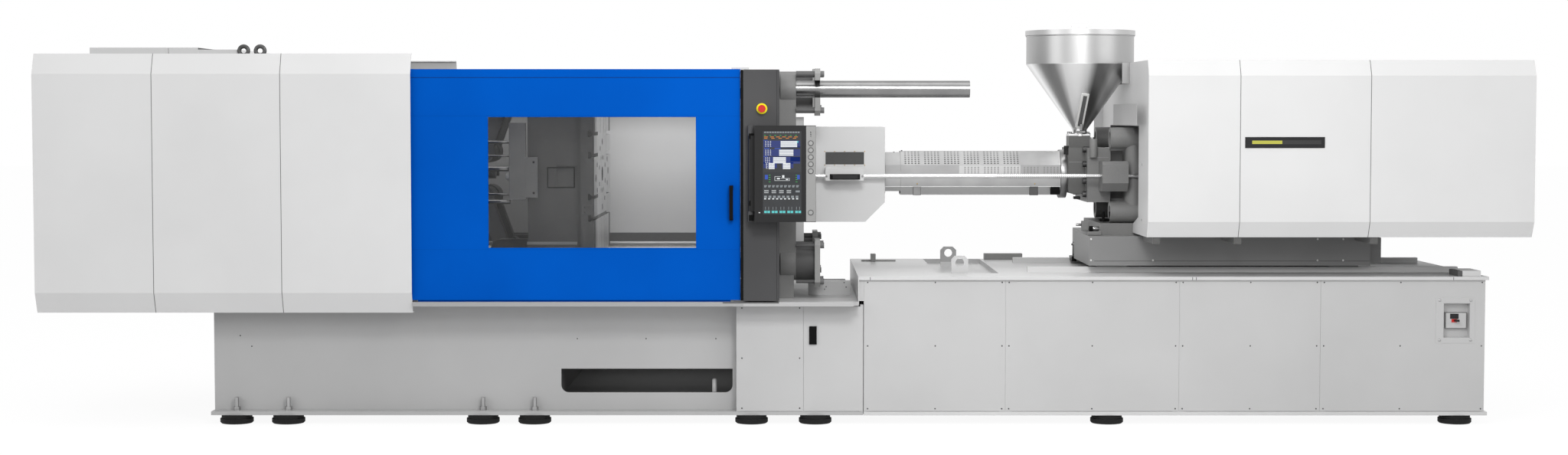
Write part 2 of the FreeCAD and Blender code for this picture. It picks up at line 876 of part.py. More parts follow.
def hood_outline(low, high, bevel, wall):
    edge = "half_width - hood_inset"
    side = [
        (f"{edge} - hood_lip", low),
        (edge, low),
        ("half_width", f"{low} + {bevel}"),
        ("half_width", f"{high} - {bevel}"),
        (edge, high),
    ]
    inner = [
        (f"{edge} - hood_lip", f"{low} + {wall}"),
        (f"{edge} - {wall}", f"{low} + {wall}"),
        (f"half_width - {wall}", f"{low} + {bevel}"),
        (f"half_width - {wall}", f"{high} - {bevel}"),
        (f"{edge} - {wall}", f"{high} - {wall}"),
    ]
    rear_outer = side
    front_outer = [(f"-({y})", z) for y, z in reversed(side)]
    front_inner = [(f"-({y})", z) for y, z in inner]
    rear_inner = list(reversed(inner))
    return rear_outer + front_outer + front_inner + rear_inner


def end_plate(name, low, high, bevel, span):
    edge = "half_width - hood_inset"
    right = [(edge, low), ("half_width", f"{low} + {bevel}"), ("half_width", f"{high} - {bevel}"), (edge, high)]
    left = [(f"-({y})", z) for y, z in reversed(right)]
    return prism(name, "YZ", right + left, span)


def make_clamp_hood():
    outline = hood_outline("hood_low", "hood_high", "hood_bevel", "hood_sheet")
    left = prism("hood_left_shell", "YZ", outline, ("-half_length", "-hood_seam_one"))
    end = end_plate("hood_left_end", "hood_low", "hood_high", "hood_bevel", ("-half_length", "-half_length + hood_sheet"))
    row = ("-roof_box_row", "roof_box_row")
    rise = ("hood_high", "hood_high + roof_box_rise")
    box_left = block("roof_box_start", ("-roof_box_left", "-hood_seam_one - seam_gap"), row, rise)
    finish("clamp_hood_left", fuse("hood_left", [left, end, box_left]))
    centre = [
        prism("hood_centre_shell", "YZ", outline, ("-hood_seam_one", "-hood_seam_two")),
        block("roof_box_end", ("-hood_seam_one + seam_gap", "-roof_box_mid"), row, rise),
        block("roof_tray", ("-roof_box_mid", "-roof_box_right"), row, ("hood_high", "hood_high + roof_tray_rise")),
    ]
    for number, x in enumerate(("-roof_ring_one", "-roof_ring_two"), start=1):
        ring = doc.addObject("Part::Torus", f"roof_ring_{number}")
        ring.Placement = FreeCAD.Placement(FreeCAD.Vector(), TURNS["y"])
        bind(ring, "Radius1", "roof_ring_radius")
        bind(ring, "Radius2", "roof_ring_wire")
        place(ring, x, "-roof_box_row", "hood_high + roof_ring_radius")
        centre.append(ring)
    finish("clamp_hood_centre", fuse("hood_centre", centre))
    right = prism("hood_right", "YZ", outline, ("-hood_seam_two", "-hood_end"))
    row = "half_width - hood_inset - roof_open_lip"
    roof_open = block("roof_opening", ("-roof_open_left", "-hood_end + 1"), (f"-({row})", row),
                      ("hood_high - hood_sheet - 1", "hood_high + 1"))
    finish("clamp_hood_right", cut("hood_right_open", right, [roof_open]))


def make_injection_hood():
    outline = hood_outline("injection_hood_low", "injection_hood_high", "injection_bevel", "hood_sheet")
    cuts = ("injection_hood_left", "hood_cut_one", "hood_cut_two", "half_length")
    sections = []
    for number in range(3):
        span = (cuts[number], cuts[number + 1])
        section = prism(f"injection_section_{number + 1}", "YZ", outline, span)
        if number == 0:
            room = rod("hopper_room", "z", ("injection_hood_high - hopper_room_depth", "injection_hood_high + 1"),
                       ("hopper_place", "0"), "hopper_radius + hopper_clear")
            wall = end_plate("injection_front_wall", "injection_hood_low", "injection_hood_high", "injection_bevel",
                             ("injection_hood_left", "injection_hood_left + hood_sheet"))
            half = [
                ("gap_foot_row", "injection_hood_low - 1"),
                ("gap_foot_row", "gap_foot_high"),
                ("gap_row", "gap_shoulder"),
                ("gap_row", "gap_high"),
            ]
            gap = prism("injection_wall_gap", "YZ", half + [(f"-({y})", z) for y, z in reversed(half)],
                        ("injection_hood_left - 1", "injection_hood_left + hood_sheet + 1"))
            cheek = block("injection_cheek", ("cheek_left", "injection_hood_left"),
                          ("half_width - hood_sheet", "half_width"),
                          ("injection_hood_low + injection_bevel", "injection_hood_high - injection_bevel"))
            joined = fuse("injection_section_front", [section, cut("injection_wall_open", wall, [gap]), cheek])
            section = cut("injection_section_open", joined, [room])
        if number == 2:
            end = end_plate("injection_end", "injection_hood_low", "injection_hood_high", "injection_bevel",
                            ("half_length - hood_sheet", "half_length"))
            section = fuse("injection_section_closed", [section, end])
        sections.append(section)
    finish("injection_hood", group("injection_sections", sections))


# ---- gates and the rails that they run on

def make_gate_rails():
    solids = []
    sill = block("gate_sill", ("-hood_end + seam_gap", "track_right"), (f"-{SILL_ROW}", f"-{DECK_ROW}"),
                 ("track_low", "track_high"))
    track = block("gate_track", ("-track_left", "-hood_end + 40"), (f"-{TRACK_ROW}", f"-{TRACK_BACK}"),
                  ("clamp_deck", "track_high"))
    solids += both_sides(fuse("gate_track_whole", [sill, track]))
    header = block("gate_header", ("-track_left", "-column_left"), (f"-{RAIL_FRONT}", f"-{RAIL_BACK}"),
                   ("rail_low", "column_high"))
    cap = block("header_cap", ("-cap_left", "-cap_right"), (f"-{RAIL_FRONT}", f"-{RAIL_BACK}"),
                ("column_high", "column_high + cap_thick"))
    hanger = block("header_hanger", ("-hood_seam_two - 30", "-hood_seam_two + 30"), (f"-{RAIL_BACK} - 20", f"-{RAIL_BACK}"),
                   ("column_high", "hood_high - hood_sheet"))
    solids += both_sides(fuse("gate_header_whole", [header, cap, hanger]))
    finish("gate_rails", group("rails", solids))


def gate_pan(name, with_window):
    # A folded sheet pan: skin outside, rims and cross ribs behind it.
    face = f"-{GATE_FACE}"
    back = f"-{GATE_FACE} + gate_sheet"
    pan = block(f"{name}_pan", ("-gate_left", "-gate_right"), (face, back), ("gate_low", "gate_high"))
    inside = (f"{face} + gate_skin", f"{back} + 1")
    bands = (
        ("lower", "gate_low + gate_rim / 2", "window_low - gate_rim"),
        ("upper", "window_high + gate_rim", "gate_high - gate_rim / 2"),
    )
    tools = []
    for band, low, high in bands:
        tools.append(block(f"{name}_{band}", ("-gate_left + gate_rim / 2", "-gate_right - gate_rim / 2"), inside,
                           (low, high)))
    middle = ("window_low - gate_rim / 2", "window_high + gate_rim / 2")
    if with_window:
        tools.append(block(f"{name}_left_bay", ("-gate_left + gate_rim / 2", "-window_left - gate_rim"), inside, middle))
        tools.append(block(f"{name}_right_bay", ("-window_right + gate_rim", "-gate_right - gate_rim / 2"), inside,
                           middle))
        tools.append(block(f"{name}_opening", ("-window_left", "-window_right"), (f"{face} - 1", f"{back} + 1"),
                           ("window_low", "window_high")))
        tools.append(block(f"{name}_rebate", ("-window_left - window_lap", "-window_right + window_lap"), inside,
                           ("window_low - window_lap", "window_high + window_lap")))
    else:
        tools.append(block(f"{name}_middle", ("-gate_left + gate_rim / 2", "-gate_right - gate_rim / 2"), inside, middle))
    shell = cut(f"{name}_shell", pan, tools)
    runner = block(f"{name}_runner", ("-gate_left + gate_rim", "-gate_right - gate_rim"), (f"{back} - runner_depth", back),
                   ("track_high + running_gap", "gate_low"))
    return fuse(f"{name}_whole", [shell, runner])


def bar_handle(name, low, high, face, stand, half, foot, centre):
    # A bar handle with a flat grip on two feet, standing off a face that looks to -Y.
    return prism(name, "YZ", [
        (face, low),
        (face, f"{low} + {foot}"),
        (f"{face} - {stand} + 2 * {half}", f"{low} + {foot}"),
        (f"{face} - {stand} + 2 * {half}", f"{high} - {foot}"),
        (face, f"{high} - {foot}"),
        (face, high),
        (f"{face} - {stand} + {half}", high),
        (f"{face} - {stand}", f"{high} - {half}"),
        (f"{face} - {stand}", f"{low} + {half}"),
        (f"{face} - {stand} + {half}", low),
    ], (f"{centre} - {half}", f"{centre} + {half}"))


def make_gates():
    finish("operator_gate", gate_pan("front_gate", True))
    pane = block("pane", ("-window_left - window_lap", "-window_right + window_lap"),
                 (f"-{GATE_FACE} + gate_skin", f"-{GATE_FACE} + gate_skin + pane_sheet"),
                 ("window_low - window_lap", "window_high + window_lap"))
    finish("gate_window", pane)
    handle = bar_handle("front_handle", "handle_low", "handle_high", f"-{GATE_FACE}", "handle_stand", "handle_half",
                        "handle_foot", "-handle_place")
    finish("gate_handle", handle)
    rear = mirrored("rear_gate_image", gate_pan("back_gate", False), "y")
    rear_handle = mirrored("rear_handle_image", bar_handle("back_handle", "handle_low", "handle_high", f"-{GATE_FACE}",
                           "handle_stand", "handle_half", "handle_foot", "-handle_place"), "y")
    finish("rear_gate", fuse("rear_gate_whole", [rear, rear_handle]))


# ---- column cover, stop button, control panel

def make_column():
    outer = prism("column_outer", "XY", [
        ("-column_left", "-platen_half"),
        ("-column_left", "-half_width"),
        ("-column_right - column_bevel", "-half_width"),
        ("-column_right", "-half_width + column_bevel"),
        ("-column_right", "-platen_half"),
    ], ("column_low", "column_high"))
    inner = block("column_inner", ("-column_left + column_sheet", "-column_right - column_sheet"),
                  ("-half_width + column_sheet + column_bevel", "-platen_half + 1"),
                  ("column_low + column_sheet", "column_high - column_sheet"))
    hole = rod("stop_hole", "y", ("-half_width - 1", "-half_width + 60"), ("-stop_place", "stop_height"),
               "stop_stem + 1")
    front = cut("column_front", outer, [inner, hole])
    rear_outer = block("column_rear_outer", ("-column_left", "-column_right"), ("platen_half", "half_width"),
                       ("column_low", "column_high"))
    rear_inner = block("column_rear_inner", ("-column_left + column_sheet", "-column_right - column_sheet"),
                       ("platen_half - 1", "half_width - column_sheet"),
                       ("column_low + column_sheet", "column_high - column_sheet"))
    rear = cut("column_rear", rear_outer, [rear_inner])
    finish("column_cover", group("columns", [front, rear]))
    face = "-half_width"
    ring = rod("stop_ring_disc", "y", (f"{face} - stop_ring_thick", face), ("-stop_place", "stop_height"), "stop_ring")
    ring_hole = rod("stop_ring_hole", "y", (f"{face} - stop_ring_thick - 1", f"{face} + 1"),
                    ("-stop_place", "stop_height"), "stop_stem + fit_gap")
    finish("stop_button_ring", cut("stop_ring_cut", ring, [ring_hole]))
    cap_back = f"{face} - stop_ring_thick - stop_travel - 1"
    cap = rod("stop_cap_disc", "y", (f"{cap_back} - stop_cap_thick", cap_back), ("-stop_place", "stop_height"), "stop_cap")
    stem = rod("stop_stem_rod", "y", (f"{cap_back} - 1", f"{face} + 10"), ("-stop_place", "stop_height"), "stop_stem")
    finish("stop_button", fuse("stop_button_whole", [cap, stem]))


def make_control_panel():
    front = f"-{SIDE_REACH} + button_proud"
    back = f"{front} + panel_depth"
    plate = block("bracket_plate", ("-pivot_place - pivot_knuckle", "-pivot_place + pivot_knuckle"),
                  ("-half_width - 6", "-half_width"), ("panel_bottom", "panel_top"))
    solids = [plate]
    ends = (
        ("low", "panel_bottom", "panel_bottom + knuckle_height"),
        ("high", "panel_top - knuckle_height", "panel_top"),
    )
    for name, low, high in ends:
        ear = block(f"bracket_ear_{name}", ("-pivot_place - pivot_knuckle", "-pivot_place + pivot_knuckle"),
                    (f"-{PIVOT_ROW}", "-half_width"), (low, high))
        round_ear = rod(f"bracket_round_{name}", "z", (low, high), ("-pivot_place", f"-{PIVOT_ROW}"), "pivot_knuckle")
        solids += [ear, round_ear]
    pin = rod("panel_pin", "z", ("panel_bottom", "panel_top"), ("-pivot_place", f"-{PIVOT_ROW}"), "pivot_radius")
    finish("panel_bracket", fuse("bracket_whole", solids + [pin]))
    housing = block("housing_block", ("-panel_left", "panel_right"), (front, back), ("panel_bottom", "panel_top"))
    gap = "running_gap"
    sleeve_span = (f"panel_bottom + knuckle_height + {gap}", f"panel_top - knuckle_height - {gap}")
    sleeve = rod("panel_sleeve", "z", sleeve_span, ("-pivot_place", f"-{PIVOT_ROW}"), "pivot_knuckle - 2")
    arm = block("panel_arm", ("-pivot_place", "-panel_left + 30"), (f"{back} - 8", f"-{PIVOT_ROW} + 8"), sleeve_span)
    sleeve_bore = rod("panel_sleeve_bore", "z", ("panel_bottom", "panel_top"), ("-pivot_place", f"-{PIVOT_ROW}"),
                      "pivot_radius + fit_gap")
    tools = [sleeve_bore]
    tools.append(block("screen_room", ("-screen_left", "screen_right"), (f"{front} - 1", f"{front} + screen_sheet"),
                       ("screen_low", "screen_high")))
    heights = [f"button_first - {number} * button_pitch" for number in range(5)] + ["button_last"]
    for number, height in enumerate(heights, start=1):
        tools.append(rod(f"button_hole_{number}", "y", (f"{front} - 1", f"{front} + 14"), ("button_place", height),
                         "button_radius + fit_gap"))
    whole = fuse("housing_whole", [housing, sleeve, arm])
    finish("panel_housing", cut("housing_cut", whole, tools))
    screen = block("screen_glass", ("-screen_left", "screen_right"), (front, f"{front} + screen_sheet"),
                   ("screen_low", "screen_high"))
    finish("panel_screen", screen)
    for number, height in enumerate(heights, start=1):
        button = rod(f"button_{number}", "y", (f"{front} - button_proud", f"{front} + 10"), ("button_place", height),
                     "button_radius")
        finish(f"panel_button_{number}", button)


# ---- platens, tie bars and keepers

def rounded_plate(name, half, span):
    # A square plate across the machine's axis, its four corners rounded about the tie bars.
    centre = AXIS
    inner = f"({half} - platen_corner)"
    solids = [
        block(f"{name}_wide", span, (f"-{half}", half), (f"{centre} - {inner}", f"{centre} + {inner}")),
        block(f"{name}_tall", span, (f"-{inner}", inner), (f"{centre} - {half}", f"{centre} + {half}")),
    ]
    for number, (side, level) in enumerate(((-1, -1), (-1, 1), (1, -1), (1, 1)), start=1):
        solids.append(rod(f"{name}_corner_{number}", "x", span, (f"{side} * {inner}", f"{centre} + {level} * {inner}"),
                          "platen_corner"))
    return solids


def tie_holes(prefix, span, gap):
    holes = []
    for number, (side, level) in enumerate(((-1, -1), (-1, 1), (1, -1), (1, 1)), start=1):
        holes.append(rod(f"{prefix}_{number}", "x", span, (f"{side} * tie_half", f"{AXIS} + {level} * tie_half"),
                         f"tie_radius + {gap}"))
    return holes


def mould_slots(prefix, face, direction):
    # Level T slots in a mounting face, two above and two below the axis, open at both sides of
    # the platen. direction is the way the face looks along X.
    tools = []
    neck_span = (f"{face} - slot_neck_depth", f"{face} + 1") if direction > 0 else (f"{face} - 1", f"{face} + slot_neck_depth")
    if direction > 0:
        head_span = (f"{face} - slot_depth", f"{face} - slot_neck_depth + 1")
    else:
        head_span = (f"{face} + slot_neck_depth - 1", f"{face} + slot_depth")
    number = 0
    for offset in ("slot_one", "slot_two", "-slot_one", "-slot_two"):
        for side in (-1, 1):
            for part, span, half in (("neck", neck_span, "slot_neck"), ("head", head_span, "slot_head")):
                number += 1
                run = ("-platen_half - 1", "-slot_inner") if side < 0 else ("slot_inner", "platen_half + 1")
                level = f"{AXIS} + {offset}"
                tools.append(block(f"{prefix}_{part}_{number}", span, run, (f"{level} - {half}", f"{level} + {half}")))
    return tools


def make_fixed_platen():
    face = "-fixed_face"
    span = (face, FIXED_BACK)
    solids = rounded_plate("fixed", "platen_half", span)
    foot = block("fixed_foot", ("-foot_left", "foot_right"), ("-foot_row - foot_half", "-foot_row + foot_half"),
                 ("clamp_deck", f"{AXIS} - platen_half + platen_corner"))
    solids += both_sides(foot)
    tools = tie_holes("fixed_tie", (f"{face} - 1", f"{FIXED_BACK} + 1"), "fit_gap")
    tools += mould_slots("fixed_slot", face, -1)
    tools.append(rod("ring_hole", "x", (f"{face} - 1", f"{FIXED_BACK} + 1"), ("0", AXIS), "ring_bore"))
    tools.append(taper("nozzle_way", "x", (f"{FIXED_BACK} - nozzle_way_depth", FIXED_BACK), ("0", AXIS),
                       "nozzle_way_small", "nozzle_way_large"))
    finish("fixed_platen", cut("fixed_platen_cut", fuse("fixed_platen_whole", solids), tools))


def make_tie_bars():
    bars = []
    places = (
        ("lower_front", "-tie_half", f"{AXIS} - tie_half", "bar_end"),
        ("upper_front", "-tie_half", f"{AXIS} + tie_half", "long_bar_end"),
        ("lower_rear", "tie_half", f"{AXIS} - tie_half", "bar_end"),
        ("upper_rear", "tie_half", f"{AXIS} + tie_half", "bar_end"),
    )
    for name, y, z, end in places:
        bars.append(rod(f"bar_{name}", "x", ("-bar_tail - die_travel", end), (y, z), "tie_radius"))
    finish("tie_bars", group("bars", bars))


def keeper(name, y, z, open_side):
    # A housing and a square flange with four long bolts. The open one is a fork round the bar.
    tie = f"({AXIS} + {z} * tie_half)"
    mid = f"({tie} - upper_keeper_drop)" if open_side else tie
    centre_y = f"({y} * tie_half)"
    half = "keeper_half"
    corner = "keeper_corner"
    outline = [
        (f"{centre_y} - {half}", f"{mid} - {half} + {corner}"),
        (f"{centre_y} - {half} + {corner}", f"{mid} - {half}"),
        (f"{centre_y} + {half} - {corner}", f"{mid} - {half}"),
        (f"{centre_y} + {half}", f"{mid} - {half} + {corner}"),
        (f"{centre_y} + {half}", f"{mid} + {half} - {corner}"),
        (f"{centre_y} + {half} - {corner}", f"{mid} + {half}"),
        (f"{centre_y} - {half} + {corner}", f"{mid} + {half}"),
        (f"{centre_y} - {half}", f"{mid} + {half} - {corner}"),
    ]
    solids = [prism(f"{name}_flange", "YZ", outline, (KEEPER_FACE, KEEPER_END))]
    if not open_side:
        solids.append(rod(f"{name}_housing", "x", (FIXED_BACK, KEEPER_FACE), (centre_y, tie), "keeper_radius"))
    for number, (side, level) in enumerate(((-1, -1), (-1, 1), (1, -1), (1, 1)), start=1):
        spot = (f"{centre_y} + {side} * keeper_bolt_row", f"{mid} + {level} * keeper_bolt_row")
        solids.append(rod(f"{name}_bolt_{number}", "x", (KEEPER_END, f"{KEEPER_END} + keeper_bolt_head"), spot,
                          "keeper_bolt"))
        if open_side:
            solids.append(rod(f"{name}_spacer_{number}", "x", (FIXED_BACK, KEEPER_FACE), spot, "keeper_bolt"))
        else:
            solids.append(rod(f"{name}_shank_{number}", "x", (FIXED_BACK, KEEPER_FACE), spot, "keeper_bolt * 0.6"))
    whole = fuse(f"{name}_whole", solids)
    span = (f"{FIXED_BACK} - 1", f"{KEEPER_END} + 1")
    bore = rod(f"{name}_bore", "x", span, (centre_y, tie), "tie_radius + fit_gap")
    tools = [bore]
    if open_side:
        tools = [rod(f"{name}_fork_end", "x", span, (centre_y, tie), "tie_radius + running_gap"),
                 block(f"{name}_fork", span, (f"{centre_y} - {half} - 1", centre_y),
                       (f"{tie} - tie_radius - running_gap", f"{tie} + tie_radius + running_gap"))]
    return cut(f"{name}_cut", whole, tools)


def make_keepers():
    keepers = [
        keeper("keeper_lower_front", -1, -1, False),
        keeper("keeper_upper_front", -1, 1, True),
        keeper("keeper_lower_rear", 1, -1, False),
        keeper("keeper_upper_rear", 1, 1, False),
    ]
    finish("tie_bar_keepers", group("keepers", keepers))


def make_moving_platen():
    face = MOVING_FACE
    flange_back = f"{face} - moving_flange"
    back = MOVING_BACK
    solids = rounded_plate("moving", "platen_half", (flange_back, face))
    solids.append(block("moving_core", (back, flange_back), ("-moving_body_half", "moving_body_half"),
                        (f"{AXIS} - tie_half + tie_radius", f"{AXIS} + tie_half - tie_radius")))
    solids.append(block("moving_spine", (back, flange_back), ("-tie_half + tie_radius", "tie_half - tie_radius"),
                        (f"{AXIS} - moving_body_half", f"{AXIS} + moving_body_half")))
    for number, (side, level) in enumerate(((-1, -1), (-1, 1), (1, -1), (1, 1)), start=1):
        solids.append(rod(f"moving_boss_{number}", "x", (back, flange_back),
                          (f"{side} * tie_half", f"{AXIS} + {level} * tie_half"), "platen_corner - 4"))
    shoe = block("moving_shoe", (f"{back} + 20", f"{face} - 20"), ("-way_row - way_half", "-way_row + way_half"),
                 (f"{WAY_TOP} + running_gap", f"{AXIS} - platen_half + platen_corner"))
    solids += both_sides(shoe)
    lugs = []
    for level in (-1, 1):
        pivot = f"{AXIS} + {level} * pivot_rise"
        span = ("-lug_outer", "-front_link_half - running_gap")
        low = f"{pivot} - link_eye"
        high = f"{pivot} + link_eye"
        name = "low" if level < 0 else "high"
        bar = block(f"lug_bar_{name}", (FRONT_PIVOT, back), span, (low, high))
        eye = rod(f"lug_eye_{name}", "y", span, (FRONT_PIVOT, pivot), "link_eye")
        lugs += [bar, eye]
    lug_set = fuse("moving_lugs", lugs)
    solids += both_sides(lug_set)
    tools = tie_holes("moving_tie", (f"{back} - 1", f"{face} + 1"), "fit_gap")
    tools += mould_slots("moving_slot", face, 1)
    room = ("-ejector_room", "ejector_room")
    tools.append(block("ejector_room_block", (f"{back} - 1", f"{back} + ejector_room_depth"), room,
                       (f"{AXIS} - ejector_room", f"{AXIS} + ejector_room")))
    for number, (y, z) in enumerate(EJECTOR_PLACES, start=1):
        tools.append(rod(f"ejector_hole_{number}", "x", (f"{back} + 1", f"{face} + 1"), (y, f"{AXIS} + {z}"),
                         "ejector_pin + fit_gap"))
    pocket = block("side_pocket", (f"{flange_back} - 150", f"{flange_back} - 20"),
                   ("-moving_body_half - 1", "-moving_body_half + 12"), (f"{AXIS} - 65", f"{AXIS} + 65"))
    tools.append(pocket)
    finish("moving_platen", cut("moving_platen_cut", fuse("moving_platen_whole", solids), tools))


EJECTOR_PLACES = (
    ("0", "0"),
    ("-ejector_row", "-ejector_row"),
    ("-ejector_row", "ejector_row"),
    ("ejector_row", "-ejector_row"),
    ("ejector_row", "ejector_row"),
)


def make_ejector():
    start = f"{MOVING_BACK} + ejector_place"
    plate_end = f"{start} + ejector_thick"
    span = ("-ejector_half", "ejector_half")
    solids = [block("ejector_plate_block", (start, plate_end), span, (f"{AXIS} - ejector_half", f"{AXIS} + ejector_half"))]
    tip = f"{MOVING_FACE} - 30"
    for number, (y, z) in enumerate(EJECTOR_PLACES, start=1):
        solids.append(rod(f"ejector_pin_{number}", "x", (start, tip), (y, f"{AXIS} + {z}"), "ejector_pin"))
    finish("ejector_plate", fuse("ejector_whole", solids))


# ---- toggle clamp, built folded as it stands with the mould open

def strap(name, start, end, angle, half, y_span):
    # A straight web between two eyes in the XZ plane. angle is its slope, half its half depth.
    (x1, z1), (x2, z2) = start, end
    dx = f"{half} * sin({angle})"
    dz = f"{half} * cos({angle})"
    return prism(name, "XZ", [
        (f"{x1} - {dx}", f"{z1} + {dz}"),
        (f"{x1} + {dx}", f"{z1} - {dz}"),
        (f"{x2} + {dx}", f"{z2} - {dz}"),
        (f"{x2} - {dx}", f"{z2} + {dz}"),
    ], y_span)


def make_toggle():
    level = f"({AXIS} + pivot_rise)"
    knuckle_level = f"({AXIS} + {KNUCKLE_RISE})"
    tip_level = f"({AXIS} + {ARM_TIP_RISE})"
    head_level = f"({AXIS} + crosshead_rise)"
    wide = ("-rear_link_half", "rear_link_half")
    # rear link: full width at both eyes, two straps between them
    rear_web = strap("rear_web_high", (REAR_PIVOT, level), (KNUCKLE, knuckle_level), "-link_fold", "link_web", wide)
    slot = block("rear_slot", (f"{REAR_PIVOT} - link_eye", f"{KNUCKLE} + link_eye"), ("-rear_link_slot", "rear_link_slot"),
                 (f"{knuckle_level} - link_eye", f"{level} - 10"))
    rear_straps = cut("rear_straps", rear_web, [slot])
    rear_eyes = [
        rod("rear_eye_high", "y", wide, (REAR_PIVOT, level), "link_eye"),
        rod("rear_knuckle_near", "y", ("-rear_link_half", "-rear_link_slot"), (KNUCKLE, knuckle_level), "link_eye"),
        rod("rear_knuckle_far", "y", ("rear_link_slot", "rear_link_half"), (KNUCKLE, knuckle_level), "link_eye"),
        rod("rear_pin_high", "y", ("-front_link_half", "front_link_half"), (KNUCKLE, knuckle_level), "link_pin"),
        rod("rear_tip_near", "y", ("-rear_link_half", "-rear_link_slot"), (ARM_TIP, tip_level), "link_web"),
        rod("rear_tip_far", "y", ("rear_link_slot", "rear_link_half"), (ARM_TIP, tip_level), "link_web"),
    ]
    rear_bore = rod("rear_bore_high", "y", ("-rear_link_half - 1", "rear_link_half + 1"), (REAR_PIVOT, level),
                    "link_pin + fit_gap")
    rear = cut("rear_link_high", fuse("rear_link_solid", [rear_straps] + rear_eyes), [rear_bore])
    finish("rear_link_upper", rear)
    finish("rear_link_lower", mirrored("rear_link_low", rear, "z", AXIS))
    # front link: a fork of two straps outside the rear link, joined at the platen's pivot
    side = ("-front_link_half", "-rear_link_half - running_gap")
    front_side = fuse("front_side", [
        strap("front_web_high", (KNUCKLE, knuckle_level), (FRONT_PIVOT, level), "link_fold", "link_web", side),
        rod("front_eye_high", "y", side, (FRONT_PIVOT, level), "link_eye"),
        rod("front_knuckle_high", "y", side, (KNUCKLE, knuckle_level), "link_eye"),
    ])
    front_bore = rod("front_bore_high", "y", ("-front_link_half - 1", "front_link_half + 1"), (KNUCKLE, knuckle_level),
                     "link_pin + fit_gap")
    front_tube = rod("front_tube_high", "y", ("-front_link_half", "front_link_half"), (FRONT_PIVOT, level), "link_web")
    front = cut("front_link_high", fuse("front_link_solid", both_sides(front_side) + [front_tube]), [front_bore])
    finish("front_link_upper", front)
    finish("front_link_lower", mirrored("front_link_low", front, "z", AXIS))
    # crosshead arm: one strap from the crosshead's pin to the rear link
    thin = ("-rear_link_slot + running_gap", "rear_link_slot - running_gap")
    slope = f"asin(({ARM_TIP_RISE} - crosshead_rise) / arm_length)"
    arm_solid = fuse("arm_solid", [
        strap("arm_web", (CROSSHEAD, head_level), (ARM_TIP, tip_level), slope, "arm_eye * 0.7", thin),
        rod("arm_eye_head", "y", thin, (CROSSHEAD, head_level), "arm_eye"),
        rod("arm_eye_tip", "y", thin, (ARM_TIP, tip_level), "arm_eye"),
    ])
    arm_bore = rod("arm_bore", "y", ("-rear_link_slot", "rear_link_slot"), (CROSSHEAD, head_level), "arm_pin + fit_gap")
    arm = cut("crosshead_arm_high", arm_solid, [arm_bore])
    finish("crosshead_arm_upper", arm)
    finish("crosshead_arm_lower", mirrored("crosshead_arm_low", arm, "z", AXIS))


def make_crosshead():
    span = (f"{CROSSHEAD} - crosshead_half", f"{CROSSHEAD} + crosshead_half")
    solids = [
        block("crosshead_body", span, ("-crosshead_row", "crosshead_row"),
              (f"{AXIS} - crosshead_block", f"{AXIS} + crosshead_block")),
        block("crosshead_wings", span, ("-guide_row - 2 * guide_radius", "guide_row + 2 * guide_radius"),
              (f"{AXIS} - 2 * guide_radius", f"{AXIS} + 2 * guide_radius")),
    ]
    for level in (-1, 1):
        name = "low" if level < 0 else "high"
        height = f"{AXIS} + {level} * crosshead_rise"
        cheek = ("-crosshead_row", "-rear_link_slot")
        ends = (AXIS, height) if level > 0 else (height, AXIS)
        cheek_bar = block(f"cheek_bar_{name}", (f"{CROSSHEAD} - arm_eye", f"{CROSSHEAD} + arm_eye"), cheek, ends)
        cheek_eye = rod(f"cheek_eye_{name}", "y", cheek, (CROSSHEAD, height), "arm_eye")
        solids += both_sides(fuse(f"cheek_{name}", [cheek_bar, cheek_eye]))
        solids.append(rod(f"arm_pin_{name}", "y", ("-crosshead_row", "crosshead_row"), (CROSSHEAD, height), "arm_pin"))
    through = (f"{CROSSHEAD} - crosshead_half - 1", f"{CROSSHEAD} + crosshead_half + 1")
    bores = [rod("crosshead_nut", "x", through, ("0", AXIS), "clamp_screw_radius + fit_gap")]
    bores += both_sides(rod("crosshead_guide", "x", through, ("-guide_row", AXIS), "guide_radius + fit_gap"))
    finish("crosshead", cut("crosshead_cut", fuse("crosshead_whole", solids), bores))


